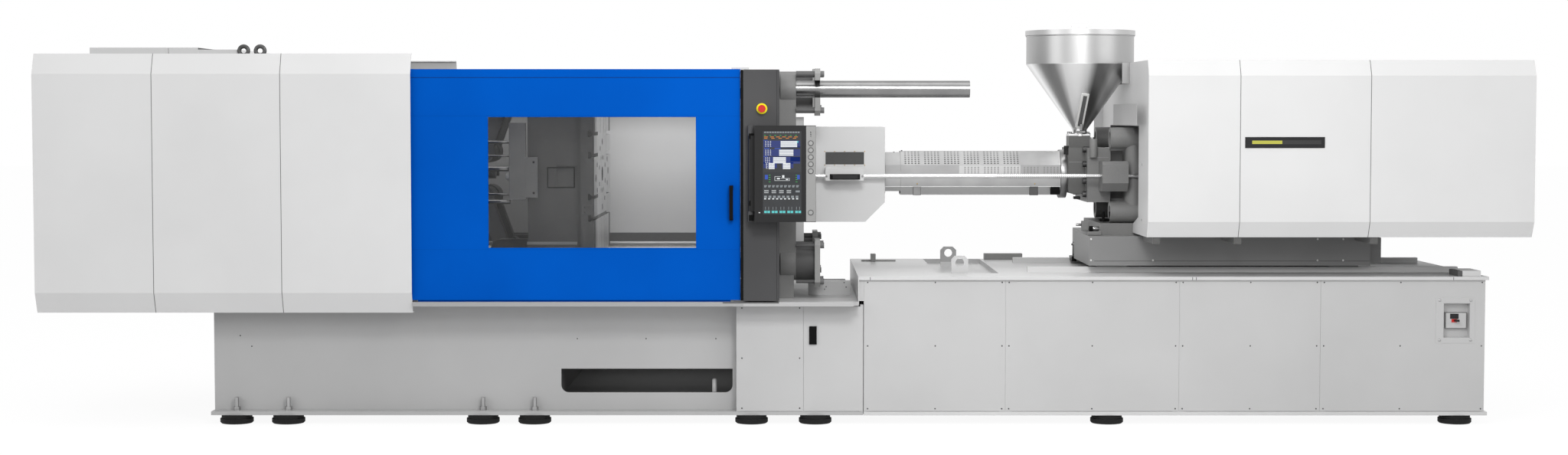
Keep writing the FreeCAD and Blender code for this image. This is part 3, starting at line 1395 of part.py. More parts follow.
def make_tail_platen():
    face = TAIL_FACE
    back = TAIL_BACK
    solids = rounded_plate("tail", "platen_half", (back, face))
    shoe = block("tail_shoe", (f"{back} + 20", f"{face} - 20"), ("-way_row - way_half", "-way_row + way_half"),
                 (f"{WAY_TOP} + running_gap", f"{AXIS} - platen_half + platen_corner"))
    solids += both_sides(shoe)
    for number, (side, level) in enumerate(((-1, -1), (-1, 1), (1, -1), (1, 1)), start=1):
        solids.append(rod(f"die_nut_{number}", "x", (f"{back} - die_nut_length", back),
                          (f"{side} * tie_half", f"{AXIS} + {level} * tie_half"), "die_nut_radius"))
    window = block("tail_window", (f"{back} - 1", f"{face} + 1"), ("-tail_window_row", "tail_window_row"),
                   (f"{AXIS} - tail_window_half", f"{AXIS} + tail_window_half"))
    tools = tie_holes("tail_tie", (f"{back} - die_nut_length - 1", f"{face} + 1"), "fit_gap")
    body = cut("tail_body", fuse("tail_plate", solids), tools + [window])
    extras = []
    for level in (-1, 1):
        pivot = f"{AXIS} + {level} * pivot_rise"
        name = "low" if level < 0 else "high"
        span = ("-tail_lug_outer", "-rear_link_half - running_gap")
        bar = block(f"tail_lug_bar_{name}", (face, REAR_PIVOT), span, (f"{pivot} - link_eye", f"{pivot} + link_eye"))
        eye = rod(f"tail_lug_eye_{name}", "y", span, (REAR_PIVOT, pivot), "link_eye")
        extras += both_sides(fuse(f"tail_lug_{name}", [bar, eye]))
        extras.append(rod(f"tail_pin_{name}", "y", ("-tail_lug_outer", "tail_lug_outer"), (REAR_PIVOT, pivot),
                          "link_pin"))
    house = block("screw_house_block", (f"{back} - screw_house", back),
                  ("-tail_window_row - 40", "tail_window_row + 40"),
                  (f"{AXIS} - tail_window_half - 40", f"{AXIS} + tail_window_half + 40"))
    house_bore = rod("screw_house_bore", "x", (f"{back} - screw_house - 1", f"{back} + 1"), ("0", AXIS),
                     "clamp_screw_radius + fit_gap")
    extras.append(cut("screw_house_cut", house, [house_bore]))
    motor = rod("clamp_motor", "x", (f"{back} - screw_house - motor_length", f"{back} - screw_house"),
                ("0", f"{AXIS} - tail_window_half"), "motor_half")
    extras.append(motor)
    guide = rod("guide_bar", "x", (back, f"{back} + guide_length"), ("-guide_row", AXIS), "guide_radius")
    extras += both_sides(guide)
    finish("tail_platen", fuse("tail_platen_whole", [body] + extras))


def make_clamp_screw():
    start = f"{TAIL_BACK} - screw_house - 60"
    shaft = rod("clamp_screw_shaft", "x", (start, f"{start} + clamp_screw_length"), ("0", AXIS), "clamp_screw_radius")
    pulley = rod("clamp_pulley", "x", (start, f"{TAIL_BACK} - screw_house - running_gap"), ("0", AXIS), "3 * clamp_screw_radius")
    finish("clamp_screw", fuse("clamp_screw_whole", [shaft, pulley]))


# ---- purge guard

def guard_outline(left, top):
    return [
        (left, "guard_low"),
        ("guard_end - guard_bevel", "guard_low"),
        ("guard_end", "guard_low + guard_bevel"),
        ("guard_end", top),
        (left, top),
    ]


def make_purge_guard():
    frame_plate = block("guard_plate", (FIXED_BACK, "guard_frame_end"), ("-guard_row", "guard_row"),
                        ("guard_frame_low", "guard_frame_high"))
    frame_room = block("guard_plate_room", (f"{FIXED_BACK} - 1", "guard_frame_end + 1"),
                       ("-guard_row + 30", "guard_row - 30"), ("guard_frame_low + 40", "guard_high - 40"))
    frame_plate_open = cut("guard_plate_open", frame_plate, [frame_room])
    rear_wall = prism("guard_rear_wall", "XZ", guard_outline("guard_frame_end", "guard_high"),
                      ("guard_row - guard_sheet", "guard_row"))
    front_rail = block("guard_front_rail", ("guard_frame_end", "guard_end - 10"),
                       ("-guard_row + guard_sheet + running_gap", "-guard_row + 30"),
                       ("guard_high - 24", "guard_high"))
    finish("purge_guard_frame", fuse("guard_frame_whole", [frame_plate_open, rear_wall, front_rail]))
    left = "guard_frame_end + running_gap"
    roof_low = "guard_high + running_gap"
    front = prism("guard_front_wall", "XZ", guard_outline(left, f"{roof_low} + guard_sheet"),
                  ("-guard_row", "-guard_row + guard_sheet"))
    window = block("guard_window_hole", ("guard_window_left", "guard_window_right"),
                   ("-guard_row - 1", "-guard_row + guard_sheet + 1"), ("guard_window_low", "guard_window_high"))
    front_open = cut("guard_front_open", front, [window])
    roof = block("guard_roof", (left, "guard_end"), ("-guard_row", "guard_row"),
                 (roof_low, f"{roof_low} + guard_sheet"))
    bracket_top = block("bracket_top", ("bracket_left", "bracket_right"), ("-bracket_out", "-guard_row"),
                        ("bracket_high - guard_sheet", "bracket_high"))
    bracket_face = block("bracket_face", ("bracket_left", "bracket_right"), ("-bracket_out - guard_sheet", "-bracket_out"),
                         ("bracket_low", "bracket_high"))
    finish("purge_guard", fuse("guard_whole", [front_open, roof, bracket_top, bracket_face]))
    grip_face = "-bracket_out - guard_sheet"
    grip = prism("grip_outline", "XY", [
        ("grip_left", grip_face),
        ("grip_left", f"{grip_face} - grip_stand + grip_half"),
        ("grip_left + grip_half", f"{grip_face} - grip_stand"),
        ("grip_right - grip_half", f"{grip_face} - grip_stand"),
        ("grip_right", f"{grip_face} - grip_stand + grip_half"),
        ("grip_right", grip_face),
        ("grip_right - grip_foot", grip_face),
        ("grip_right - grip_foot", f"{grip_face} - grip_stand + grip_half"),
        ("grip_left + grip_foot", f"{grip_face} - grip_stand + grip_half"),
        ("grip_left + grip_foot", grip_face),
    ], ("grip_height - grip_half", "grip_height + grip_half"))
    finish("purge_guard_handle", grip)


# ---- nozzle touch screws

def make_touch_screws():
    start = f"{FIXED_BACK} + running_gap"
    screw = turned("touch_screw", "x", [
        (start, "0"),
        (start, "touch_collar"),
        ("touch_collar_end", "touch_radius + 2"),
        ("touch_collar_end + 2", "touch_radius"),
        ("touch_end", "touch_radius"),
        ("touch_end", "0"),
    ], ("-touch_row", "touch_height"))
    finish("touch_screw_front", screw)
    finish("touch_screw_rear", mirrored("touch_screw_image", screw, "y"))


# ---- barrel, screw, cover, throat and hopper

def make_injection_parts():
    feed_low = f"{AXIS} + barrel_bore * 0.5"
    barrel = turned("barrel_turning", "x", [
        ("nozzle_tip", "nozzle_mouth"),
        ("nozzle_tip", "nozzle_radius * 0.7"),
        ("nozzle_tip + 25", "nozzle_radius"),
        ("nozzle_neck", "nozzle_radius"),
        ("nozzle_neck + 20", "nozzle_radius * 1.6"),
        ("barrel_head - 90", "nozzle_radius * 1.8"),
        ("barrel_head - 90", "barrel_radius"),
        ("barrel_end", "barrel_radius"),
        ("barrel_end", "barrel_bore"),
        ("barrel_head", "barrel_bore"),
        ("barrel_head - 60", "nozzle_mouth"),
    ], ("0", AXIS))
    barrel_feed = rod("barrel_feed", "z", (feed_low, f"{AXIS} + barrel_radius + 1"), ("hopper_place", "0"), "feed_radius")
    finish("barrel", cut("barrel_cut", barrel, [barrel_feed]))
    screw = turned("screw_turning", "x", [
        ("barrel_head + injection_stroke + 8", "0"),
        ("barrel_head + injection_stroke + 60", "screw_radius * 0.8"),
        ("barrel_head + injection_stroke + 90", "screw_radius"),
        ("pressure_left + pressure_thick - 20", "screw_radius"),
        ("pressure_left + pressure_thick - 20", "0"),
    ], ("0", AXIS))
    finish("plasticising_screw", screw)


def cover_outline(grow):
    # Half-octagon section round the barrel, rear side then front side.
    right = [
        (f"(cover_flat + {grow})", f"{AXIS} - cover_low - {grow}"),
        (f"(cover_half + {grow})", f"{AXIS} - cover_hip"),
        (f"(cover_half + {grow})", f"{AXIS} + cover_shoulder"),
        (f"(cover_flat + {grow})", f"{AXIS} + cover_high + {grow}"),
    ]
    left = [(f"-{y}", z) for y, z in reversed(right)]
    return right + left


def make_barrel_cover():
    main_span = ("cover_left", "cover_right")
    solids = [prism("cover_main", "YZ", cover_outline("0"), main_span)]
    solids.append(prism("cover_front", "YZ", cover_outline("-cover_step"), ("cover_nose", "cover_left + 1")))
    whole = fuse("cover_whole", solids)
    room = prism("cover_room", "YZ", cover_outline("-cover_step - cover_sheet"),
                 ("cover_nose + cover_sheet", "cover_right - cover_sheet"))
    bore = rod("cover_bore", "x", ("cover_nose - 1", "cover_right + 1"), ("0", AXIS), "barrel_radius + running_gap")
    finish("barrel_cover", cut("cover_cut", whole, [room, bore]))


def make_throat():
    fit = "barrel_radius + fit_gap"
    left = "throat_flange_end"
    body = prism("throat_body", "XZ", [
        (f"{left} + throat_corner", "throat_low"),
        ("plate_left", "throat_low"),
        ("plate_left", "plate_high"),
        (left, "plate_high"),
        (left, "throat_low + throat_corner"),
        (f"{left} + 0.3 * throat_corner", "throat_low + 0.3 * throat_corner"),
    ], ("-throat_row", "throat_row"))
    solids = [
        rod("throat_flange", "x", ("throat_left", left), ("0", AXIS), "throat_flange_radius"),
        body,
        block("throat_neck", ("throat_neck_left", "throat_neck_right"), ("-throat_neck_half", "throat_neck_half"),
              ("plate_high", "throat_top")),
    ]
    whole = fuse("throat_whole", solids)
    tools = [
        rod("throat_bore", "x", ("throat_left - 1", "plate_left + 1"), ("0", AXIS), fit),
        rod("throat_feed", "z", (f"{AXIS}", "throat_top + 1"), ("hopper_place", "0"), "feed_radius"),
    ]
    finish("throat_block", cut("throat_cut", whole, tools))


def make_hopper():
    wall = "hopper_sheet"
    hopper = turned("hopper_turning", "z", [
        ("feed_radius", "throat_top"),
        ("hopper_flange", "throat_top"),
        ("hopper_flange", "throat_top + hopper_flange_thick"),
        ("hopper_throat", "throat_top + hopper_flange_thick"),
        ("hopper_throat", "hopper_cone_low"),
        ("hopper_radius", "hopper_cone_high"),
        ("hopper_radius", "hopper_rim"),
        (f"hopper_radius - {wall}", "hopper_rim"),
        (f"hopper_radius - {wall}", "hopper_cone_high"),
        (f"hopper_throat - {wall}", "hopper_cone_low"),
    ], ("hopper_place", "0"))
    finish("hopper", hopper)
    gap = "running_gap"
    lid = turned("lid_turning", "z", [
        ("0", f"hopper_rim + {gap}"),
        (f"hopper_radius + {gap} + 1", f"hopper_rim + {gap}"),
        (f"hopper_radius + {gap} + 1", f"hopper_rim + {gap} - lid_skirt"),
        ("lid_radius", f"hopper_rim + {gap} - lid_skirt"),
        ("lid_radius", f"hopper_rim + {gap} + lid_sheet"),
        ("0", f"hopper_rim + {gap} + lid_sheet + 6"),
    ], ("hopper_place", "0"))
    foot = f"hopper_rim + {gap} + lid_sheet"
    top = f"{foot} + lid_handle_rise"
    half = "lid_handle_half"
    thick = "2 * lid_handle_radius"
    handle = prism("lid_handle", "XZ", [
        (f"hopper_place - {half}", foot),
        (f"hopper_place - {half}", f"{top} - lid_handle_radius"),
        (f"hopper_place - {half} + lid_handle_radius", top),
        (f"hopper_place + {half} - lid_handle_radius", top),
        (f"hopper_place + {half}", f"{top} - lid_handle_radius"),
        (f"hopper_place + {half}", foot),
        (f"hopper_place + {half} - {thick}", foot),
        (f"hopper_place + {half} - {thick}", f"{top} - {thick}"),
        (f"hopper_place - {half} + {thick}", f"{top} - {thick}"),
        (f"hopper_place - {half} + {thick}", foot),
    ], ("-lid_handle_radius", "lid_handle_radius"))
    finish("hopper_lid", fuse("lid_whole", [lid, handle]))


# ---- injection unit on its carriage

def make_front_plate():
    # The barrel's seat, a core, the head that carries the four guide rods, and its saddle on the carriage.
    fit = "barrel_radius + fit_gap"
    solids = [
        block("plate_seat", ("plate_left", "plate_right"), ("-plate_row", "plate_row"), ("plate_low", "plate_high")),
        block("plate_core", ("plate_right - 1", "head_left + 1"), ("-core_row", "core_row"),
              (f"{AXIS} - core_rise", f"{AXIS} + core_rise")),
        block("plate_head", ("head_left", "boss_end"), ("-boss_row", "boss_row"),
              ("saddle_high - 1", f"{AXIS} + boss_rise")),
        block("plate_saddle", ("saddle_left", "saddle_right"), ("-saddle_row", "saddle_row"),
              ("carriage_high", "saddle_high")),
    ]
    for number, (side, level) in enumerate(((-1, -1), (-1, 1), (1, -1), (1, 1)), start=1):
        spot = (f"{side} * boss_row", f"{AXIS} + {level} * boss_rise")
        solids.append(rod(f"plate_boss_{number}", "x", ("boss_left", "boss_end"), spot, "boss_radius"))
    solids.append(block("plate_brow", ("head_left", "boss_end"), ("-boss_row", "boss_row"),
                        (f"{AXIS} + boss_rise - 1", f"{AXIS} + boss_rise + boss_radius")))
    rib = rod("plate_rib", "z", (f"{AXIS} - boss_rise", f"{AXIS} + boss_rise"), ("(head_left + boss_end) / 2", "-boss_row"),
              "rib_radius")
    solids += both_sides(rib)
    nut = prism("touch_nut", "YZ", [
        ("-touch_row - nut_out", "touch_height - nut_flat_low"),
        ("-touch_row - nut_low_out", "touch_height - nut_drop"),
        ("-plate_row + 1", "touch_height - nut_drop"),
        ("-plate_row + 1", "touch_height + nut_rise"),
        ("-touch_row - nut_high_out", "touch_height + nut_rise"),
        ("-touch_row - nut_out", "touch_height + nut_flat_high"),
    ], ("nut_left", "head_left + 1"))
    solids += both_sides(nut)
    whole = fuse("front_plate_whole", solids)
    through = ("plate_left - 1", "boss_end + 1")
    tools = [rod("plate_bore", "x", through, ("0", AXIS), fit)]
    tools.append(rod("plate_feed", "z", (f"{AXIS}", "plate_high + 1"), ("hopper_place", "0"), "feed_radius"))
    tools += both_sides(rod("touch_bore", "x", through, ("-touch_row", "touch_height"), "touch_radius + fit_gap"))
    for number, (side, level) in enumerate(((-1, -1), (-1, 1), (1, -1), (1, 1)), start=1):
        tools.append(rod(f"rod_seat_{number}", "x", ("boss_left - 1", "boss_end + rib_radius"),
                         (f"{side} * boss_row", f"{AXIS} + {level} * boss_rise"), "rod_radius + fit_gap"))
    finish("front_plate", cut("front_plate_cut", whole, tools))


def make_guide_rods():
    rods = []
    for number, (side, level) in enumerate(((-1, -1), (-1, 1), (1, -1), (1, 1)), start=1):
        rods.append(rod(f"guide_rod_{number}", "x", ("rod_left", "back_plate_left"),
                        (f"{side} * boss_row", f"{AXIS} + {level} * boss_rise"), "rod_radius"))
    finish("guide_rods", group("rods", rods))


def make_carriage():
    wall = "carriage_wall"
    frame = block("carriage_block", ("carriage_left", "carriage_right"), ("-carriage_row", "carriage_row"),
                  ("carriage_low", "carriage_high"))
    room = block("carriage_room", (f"carriage_left + {wall}", f"carriage_right - {wall}"),
                 (f"-carriage_row + {wall}", f"carriage_row - {wall}"), ("carriage_low - 1", f"carriage_high - {wall}"))
    notch = block("carriage_notch", ("carriage_left - 1", "carriage_left + notch_length"), ("notch_row", "carriage_row + 1"),
                  ("carriage_low - 1", "carriage_high + 1"))
    shell = cut("carriage_shell", frame, [room, notch])
    solids = [shell]
    bumper = block("carriage_bumper", ("carriage_right", "bumper_end"), ("-carriage_row + 30", "carriage_row - 30"),
                   ("carriage_low + 12", "carriage_high - 10"))
    solids.append(bumper)
    back = block("back_plate", ("back_plate_left", "back_plate_right"), ("-back_plate_row", "back_plate_row"),
                 ("carriage_high", "back_plate_high"))
    solids.append(back)
    for name, x in (("left", "carriage_left + shoe_half_length + 60"), ("right", "carriage_right - shoe_half_length - 60")):
        shoe = block(f"shoe_{name}", (f"{x} - shoe_half_length", f"{x} + shoe_half_length"),
                     ("-rail_row - 2 * rail_half", "-rail_row + 2 * rail_half"),
                     (f"{RAIL_TOP} + running_gap", f"carriage_high - {wall} / 2"))
        solids += both_sides(shoe)
    for number, x in enumerate(("injection_hood_left + 60", "hood_cut_one", "hood_cut_two + 40"), start=1):
        solids.append(block(f"cross_bar_{number}", (f"{x} - cross_bar_half", f"{x} + cross_bar_half"),
                            ("-half_width + hood_inset + 8", "half_width - hood_inset - 8"),
                            ("carriage_high - 25", "injection_hood_low")))
    motor = rod("injection_motor", "x", ("back_plate_right", "back_plate_right + motor_length"),
                ("0", f"{AXIS} - boss_rise"), "motor_half")
    case = block("belt_case", ("back_plate_right", "back_plate_right + belt_case_thick"),
                 ("-motor_half", "motor_half"), (f"{AXIS} - boss_rise", f"{AXIS} + motor_half"))
    solids += [motor, case]
    whole = fuse("carriage_whole", solids)
    bore = rod("injection_screw_way", "x", ("back_plate_left - 1", "back_plate_right + 60"), ("0", AXIS),
               "injection_screw_radius + fit_gap")
    finish("carriage", cut("carriage_cut", whole, [bore]))


def make_pressure_plate():
    span = ("pressure_left", "pressure_left + pressure_thick")
    plate = block("pressure_block", span, ("-pressure_row", "pressure_row"),
                  (f"{AXIS} - pressure_half_height", f"{AXIS} + pressure_half_height"))
    motor = rod("metering_motor", "x", ("pressure_left + pressure_thick", "pressure_left + pressure_thick + motor_length"),
                ("0", f"{AXIS} + pressure_half_height - motor_half"), "motor_half * 0.8")
    tube_end = "pressure_left + pressure_thick + nut_tube_length"
    tube = rod("nut_tube", "x", ("pressure_left + pressure_thick", tube_end), ("0", AXIS), "nut_tube_radius")
    whole = fuse("pressure_whole", [plate, motor, tube])
    through = ("pressure_left - 1", "pressure_left + pressure_thick + 1")
    tools = both_sides(rod("touch_screw_way", "x", through, ("-touch_row", "touch_height"),
                           "touch_radius + pressure_clear"))
    for number, (side, level) in enumerate(((-1, -1), (-1, 1), (1, -1), (1, 1)), start=1):
        tools.append(rod(f"pressure_guide_{number}", "x", through,
                         (f"{side} * boss_row", f"{AXIS} + {level} * boss_rise"), "rod_radius + fit_gap"))
    tools.append(rod("pressure_screw_seat", "x", ("pressure_left - 1", "pressure_left + pressure_thick - 20"), ("0", AXIS),
                     "screw_radius + fit_gap"))
    tools.append(rod("pressure_nut", "x", ("pressure_left + pressure_thick", f"{tube_end} + 1"), ("0", AXIS),
                     "injection_screw_radius + fit_gap"))
    finish("pressure_plate", cut("pressure_cut", whole, tools))
    end = "back_plate_right + 60"
    ball = rod("injection_ball_screw", "x", ("pressure_left + pressure_thick + 10", end), ("0", AXIS),
               "injection_screw_radius")
    finish("injection_screw", ball)


# ---- water manifold on the rear of the injection bed

def make_manifold():
    # A bar with six screwed nipples.
    solids = []
    back = f"{SIDE_REACH} - manifold_stub"
    solids.append(block("manifold_block", ("manifold_left", "manifold_right"), ("flange_row", back),
                        ("manifold_low", "manifold_high")))
    middle = "(manifold_low + manifold_high) / 2"
    for number in range(SIZES["manifold_ports"]):
        x = f"manifold_left + (manifold_right - manifold_left) * ({number} + 0.5) / manifold_ports"
        nipple = rod(f"port_{number + 1}", "y", (back, SIDE_REACH), (x, middle), "manifold_stub_radius")
        hole = rod(f"port_hole_{number + 1}", "y", (f"{back} - 1", f"{SIDE_REACH} + 1"), (x, middle),
                   "manifold_port_radius")
        solids.append(cut(f"nipple_{number + 1}", nipple, [hole]))
    finish("water_manifold", group("manifold", solids))


make_pads()
make_clamp_bed()
make_injection_bed()
make_panels()
make_service_door()
make_breaker_handle()
make_clamp_hood()
make_injection_hood()
make_gate_rails()
make_gates()
make_column()
make_control_panel()
make_fixed_platen()
make_tie_bars()
make_keepers()
make_moving_platen()
make_ejector()
make_toggle()
make_crosshead()
make_tail_platen()
make_clamp_screw()
make_purge_guard()
make_touch_screws()
make_injection_parts()
make_barrel_cover()
make_throat()
make_hopper()
make_front_plate()
make_guide_rods()
make_carriage()
make_pressure_plate()
make_manifold()

doc.recompute()

for thing in doc.Objects:
    if "Invalid" in thing.State or "Error" in thing.State:
        raise RuntimeError(f"{thing.Name} did not compute: {thing.State}")
for thing in PARTS:
    if thing.Shape.isNull() or not thing.Shape.isValid():
        raise RuntimeError(f"{thing.Label} has no valid shape")

os.makedirs("parts", exist_ok=True)
for thing in PARTS:
    thing.Shape.exportStep(f"parts/{thing.Label}.step")
print(len(PARTS), "sub-parts written")
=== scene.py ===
import math

import bmesh
import bpy
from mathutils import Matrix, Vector


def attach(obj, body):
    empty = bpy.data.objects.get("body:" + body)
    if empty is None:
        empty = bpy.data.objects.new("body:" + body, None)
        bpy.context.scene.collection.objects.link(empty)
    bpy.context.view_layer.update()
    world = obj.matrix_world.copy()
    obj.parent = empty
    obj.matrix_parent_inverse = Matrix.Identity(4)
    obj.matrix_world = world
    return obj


# Injection moulding machine. X from the clamp to the injection end, Y to the rear, Z up.
# Sizes and places of the pieces are in mm.

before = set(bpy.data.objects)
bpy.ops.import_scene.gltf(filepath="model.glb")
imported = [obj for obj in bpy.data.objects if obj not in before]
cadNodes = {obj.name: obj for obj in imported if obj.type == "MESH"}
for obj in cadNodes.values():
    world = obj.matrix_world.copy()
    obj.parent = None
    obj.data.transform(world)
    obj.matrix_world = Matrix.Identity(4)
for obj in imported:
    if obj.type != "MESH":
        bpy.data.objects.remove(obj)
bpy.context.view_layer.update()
bpy.ops.object.select_all(action="DESELECT")
print("frame loaded:", len(cadNodes), "nodes")

mm = 0.001
axisHeight = 1484  # middle of the platens, barrel and screw
hopperX = 1876  # middle of the hopper
creaseAngle = 0.6  # radians: sharper edges are eased and stay crisp
finishes = {}


# materials: each from its common name and how its surface was made

def hexToLinear(text):
    # one sRGB hex value to Blender's linear colour
    shares = [int(text[start:start + 2], 16) / 255 for start in (0, 2, 4)]
    return [s / 12.92 if s <= 0.04045 else ((s + 0.055) / 1.055) ** 2.4 for s in shares] + [1.0]


def addNode(tree, kind, settings=None, links=None):
    # settings: attribute or input values, links: input name or number -> output socket
    node = tree.nodes.new(kind)
    for key, value in (settings or {}).items():
        if key in node.inputs:
            node.inputs[key].default_value = value
        else:
            setattr(node, key, value)
    for key, socket in (links or {}).items():
        tree.links.new(socket, node.inputs[key])
    return node


def scaleOf(sizeMm):
    # how often a pattern of this size repeats in a metre
    return 1 / (sizeMm * mm)


def newFinish(name):
    # a named material with its shader and Object coordinates
    material = bpy.data.materials.new(name)
    material.use_nodes = True
    tree = material.node_tree
    shader = tree.nodes["Principled BSDF"]
    place = addNode(tree, "ShaderNodeTexCoord").outputs["Object"]
    finishes[name] = material
    return tree, shader, place


def dressShader(tree, shader, wear, rough, tone=None, tones=None, relief=None, depthMm=0.0, strength=0.0):
    # wear spreads the roughness, tone the colour between two hex values, relief raises the surface
    spread = addNode(tree, "ShaderNodeMapRange", {"To Min": rough[0], "To Max": rough[1]}, {"Value": wear})
    tree.links.new(spread.outputs["Result"], shader.inputs["Roughness"])
    if tone:
        ramp = addNode(tree, "ShaderNodeValToRGB", links={"Fac": tone})
        for stop, position, text in zip(ramp.color_ramp.elements, (0.35, 0.65), tones):
            stop.position = position
            stop.color = hexToLinear(text)
        tree.links.new(ramp.outputs["Color"], shader.inputs["Base Color"])
    if relief:
        bump = addNode(tree, "ShaderNodeBump", {"Strength": strength, "Distance": depthMm * mm},
                       {"Height": relief})
        tree.links.new(bump.outputs["Normal"], shader.inputs["Normal"])


def powderCoat(name, darkHex, lightHex, roughLow, roughHigh, peelMm=5.0, gloss=0.5):
    # polyester powder coat on sheet steel: satin, with a fine orange peel and a faintly uneven tone
    tree, shader, place = newFinish(name)
    shader.inputs["Specular IOR Level"].default_value = gloss
    cloud = addNode(tree, "ShaderNodeTexNoise", {"Scale": scaleOf(900), "Detail": 3.0, "Roughness": 0.55},
                    {"Vector": place}).outputs["Fac"]
    peel = addNode(tree, "ShaderNodeTexNoise", {"Scale": scaleOf(peelMm), "Detail": 2.0},
                   {"Vector": place}).outputs["Fac"]
    dressShader(tree, shader, cloud, (roughLow, roughHigh), cloud, (darkHex, lightHex), peel, 0.12, 0.25)


def paintedCasting(name, darkHex, lightHex, grainMm=7.0):
    # enamel over sand-cast iron: the sand's grain shows as soft lumps, darker in the hollows
    tree, shader, place = newFinish(name)
    shader.inputs["Specular IOR Level"].default_value = 0.3
    grain = addNode(tree, "ShaderNodeTexNoise", {"Scale": scaleOf(grainMm), "Detail": 6.0, "Roughness": 0.6},
                    {"Vector": place}).outputs["Fac"]
    cloud = addNode(tree, "ShaderNodeTexNoise", {"Scale": scaleOf(250), "Detail": 3.0},
                    {"Vector": place}).outputs["Fac"]
    blend = addNode(tree, "ShaderNodeMix", {"data_type": "FLOAT", "Factor": 0.3}, {"A": cloud, "B": grain})
    dressShader(tree, shader, grain, (0.38, 0.6), blend.outputs["Result"], (darkHex, lightHex), grain, 1.2,
                0.35)


def machinedSteel(name, darkHex, lightHex, roughLow, roughHigh, streakMm=(400.0, 2.0, 2.0)):
    # ground or turned steel: fine streaks left by the tool, drawn coarser than real so that they show
    tree, shader, place = newFinish(name)
    shader.inputs["Metallic"].default_value = 1.0
    drawn = addNode(tree, "ShaderNodeMapping", {"Scale": [scaleOf(size) for size in streakMm]},
                    {"Vector": place}).outputs["Vector"]
    streak = addNode(tree, "ShaderNodeTexNoise", {"Scale": 1.0, "Detail": 4.0, "Roughness": 0.6},
                     {"Vector": drawn}).outputs["Fac"]
    smear = addNode(tree, "ShaderNodeTexNoise", {"Scale": scaleOf(120), "Detail": 2.0},
                    {"Vector": place}).outputs["Fac"]
    dressShader(tree, shader, streak, (roughLow, roughHigh), smear, (darkHex, lightHex), streak, 0.04, 0.2)


def mouldedPlastic(name, darkHex, lightHex, roughness, grainMm=0.9, coat=0.0, gloss=0.3):
    # moulded ABS: even colour with a fine spark-eroded texture
    tree, shader, place = newFinish(name)
    shader.inputs["Specular IOR Level"].default_value = gloss
    shader.inputs["Coat Weight"].default_value = coat
    grain = addNode(tree, "ShaderNodeTexNoise", {"Scale": scaleOf(grainMm), "Detail": 2.0},
                    {"Vector": place}).outputs["Fac"]
    dressShader(tree, shader, grain, (roughness - 0.05, roughness + 0.08), grain, (darkHex, lightHex),
                grain, 0.08, 0.3)


def litField(name, colourHex, strength):
    # a lit part of a display: its own light, under a dark glossy face
    tree, shader, place = newFinish(name)
    shader.inputs["Emission Color"].default_value = hexToLinear(colourHex)
    shader.inputs["Emission Strength"].default_value = strength
    dots = addNode(tree, "ShaderNodeTexNoise", {"Scale": scaleOf(1.5), "Detail": 0.0},
                   {"Vector": place}).outputs["Fac"]
    dressShader(tree, shader, dots, (0.2, 0.26), dots, ("0A0A0B", "121213"))


def clearPane():
    # 8 mm polycarbonate with a coat against glare: clear, hardly mirroring, with wipe marks in its gloss
    tree, shader, place = newFinish("clearPane")
    shader.inputs["Base Color"].default_value = hexToLinear("F2F2F2")
    shader.inputs["IOR"].default_value = 1.58
    shader.inputs["Specular Tint"].default_value = hexToLinear("949494")
    shader.inputs["Transmission Weight"].default_value = 1.0
    wipe = addNode(tree, "ShaderNodeTexNoise", {"Scale": scaleOf(150), "Detail": 5.0, "Roughness": 0.7},
                   {"Vector": place}).outputs["Fac"]
    dressShader(tree, shader, wipe, (0.0, 0.05))


def displayGlass():
    # the panel's toughened front glass over an unlit display
    tree, shader, place = newFinish("displayGlass")
    shader.inputs["Coat Weight"].default_value = 0.6
    haze = addNode(tree, "ShaderNodeTexNoise", {"Scale": scaleOf(80), "Detail": 4.0},
                   {"Vector": place}).outputs["Fac"]
    dressShader(tree, shader, haze, (0.1, 0.2), haze, ("101418", "161B20"))


def stainlessPaintedReflections():
    # stainless sheet rolled to a cone: light and dark bands run down its side by angle round its axis,
    # painted reflections of the room
    tree, shader, place = newFinish("stainlessPaintedReflections")
    shader.inputs["Metallic"].default_value = 1.0
    centred = addNode(tree, "ShaderNodeMapping", {"Location": (-hopperX * mm, 0, 0)},
                      {"Vector": place}).outputs["Vector"]
    axes = addNode(tree, "ShaderNodeSeparateXYZ", links={"Vector": centred}).outputs
    angle = addNode(tree, "ShaderNodeMath", {"operation": "ARCTAN2"}, {0: axes["Y"], 1: axes["X"]})
    turn = addNode(tree, "ShaderNodeMapRange", {"From Min": -math.pi, "From Max": math.pi},
                   {"Value": angle.outputs[0]})
    paintedReflectionBands = addNode(tree, "ShaderNodeValToRGB", links={"Fac": turn.outputs["Result"]})
    # the stops are painted reflections: light and dark tones by angle round the hopper's axis
    stops = ((0.0, "D4D4D4"), (0.05, "FAFAFA"), (0.1, "B8B8B8"), (0.15, "B0B0B0"), (0.18, "FAFAFA"),
             (0.26, "FAFAFA"), (0.285, "909090"), (0.32, "A0A0A0"), (0.35, "E0E0E0"), (0.4, "C8C8C8"),
             (0.45, "FAFAFA"), (0.52, "F0F0F0"), (0.75, "C8C8C8"), (1.0, "D4D4D4"))
    elements = paintedReflectionBands.color_ramp.elements
    for number, (position, tone) in enumerate(stops):
        stop = elements[number] if number < 2 else elements.new(position)
        stop.position = position
        stop.color = hexToLinear(tone)
    tree.links.new(paintedReflectionBands.outputs["Color"], shader.inputs["Base Color"])
    grind = addNode(tree, "ShaderNodeTexNoise", {"Scale": scaleOf(3), "Detail": 3.0},
                    {"Vector": centred}).outputs["Fac"]
    dressShader(tree, shader, grind, (0.3, 0.4), relief=grind, depthMm=0.04, strength=0.2)


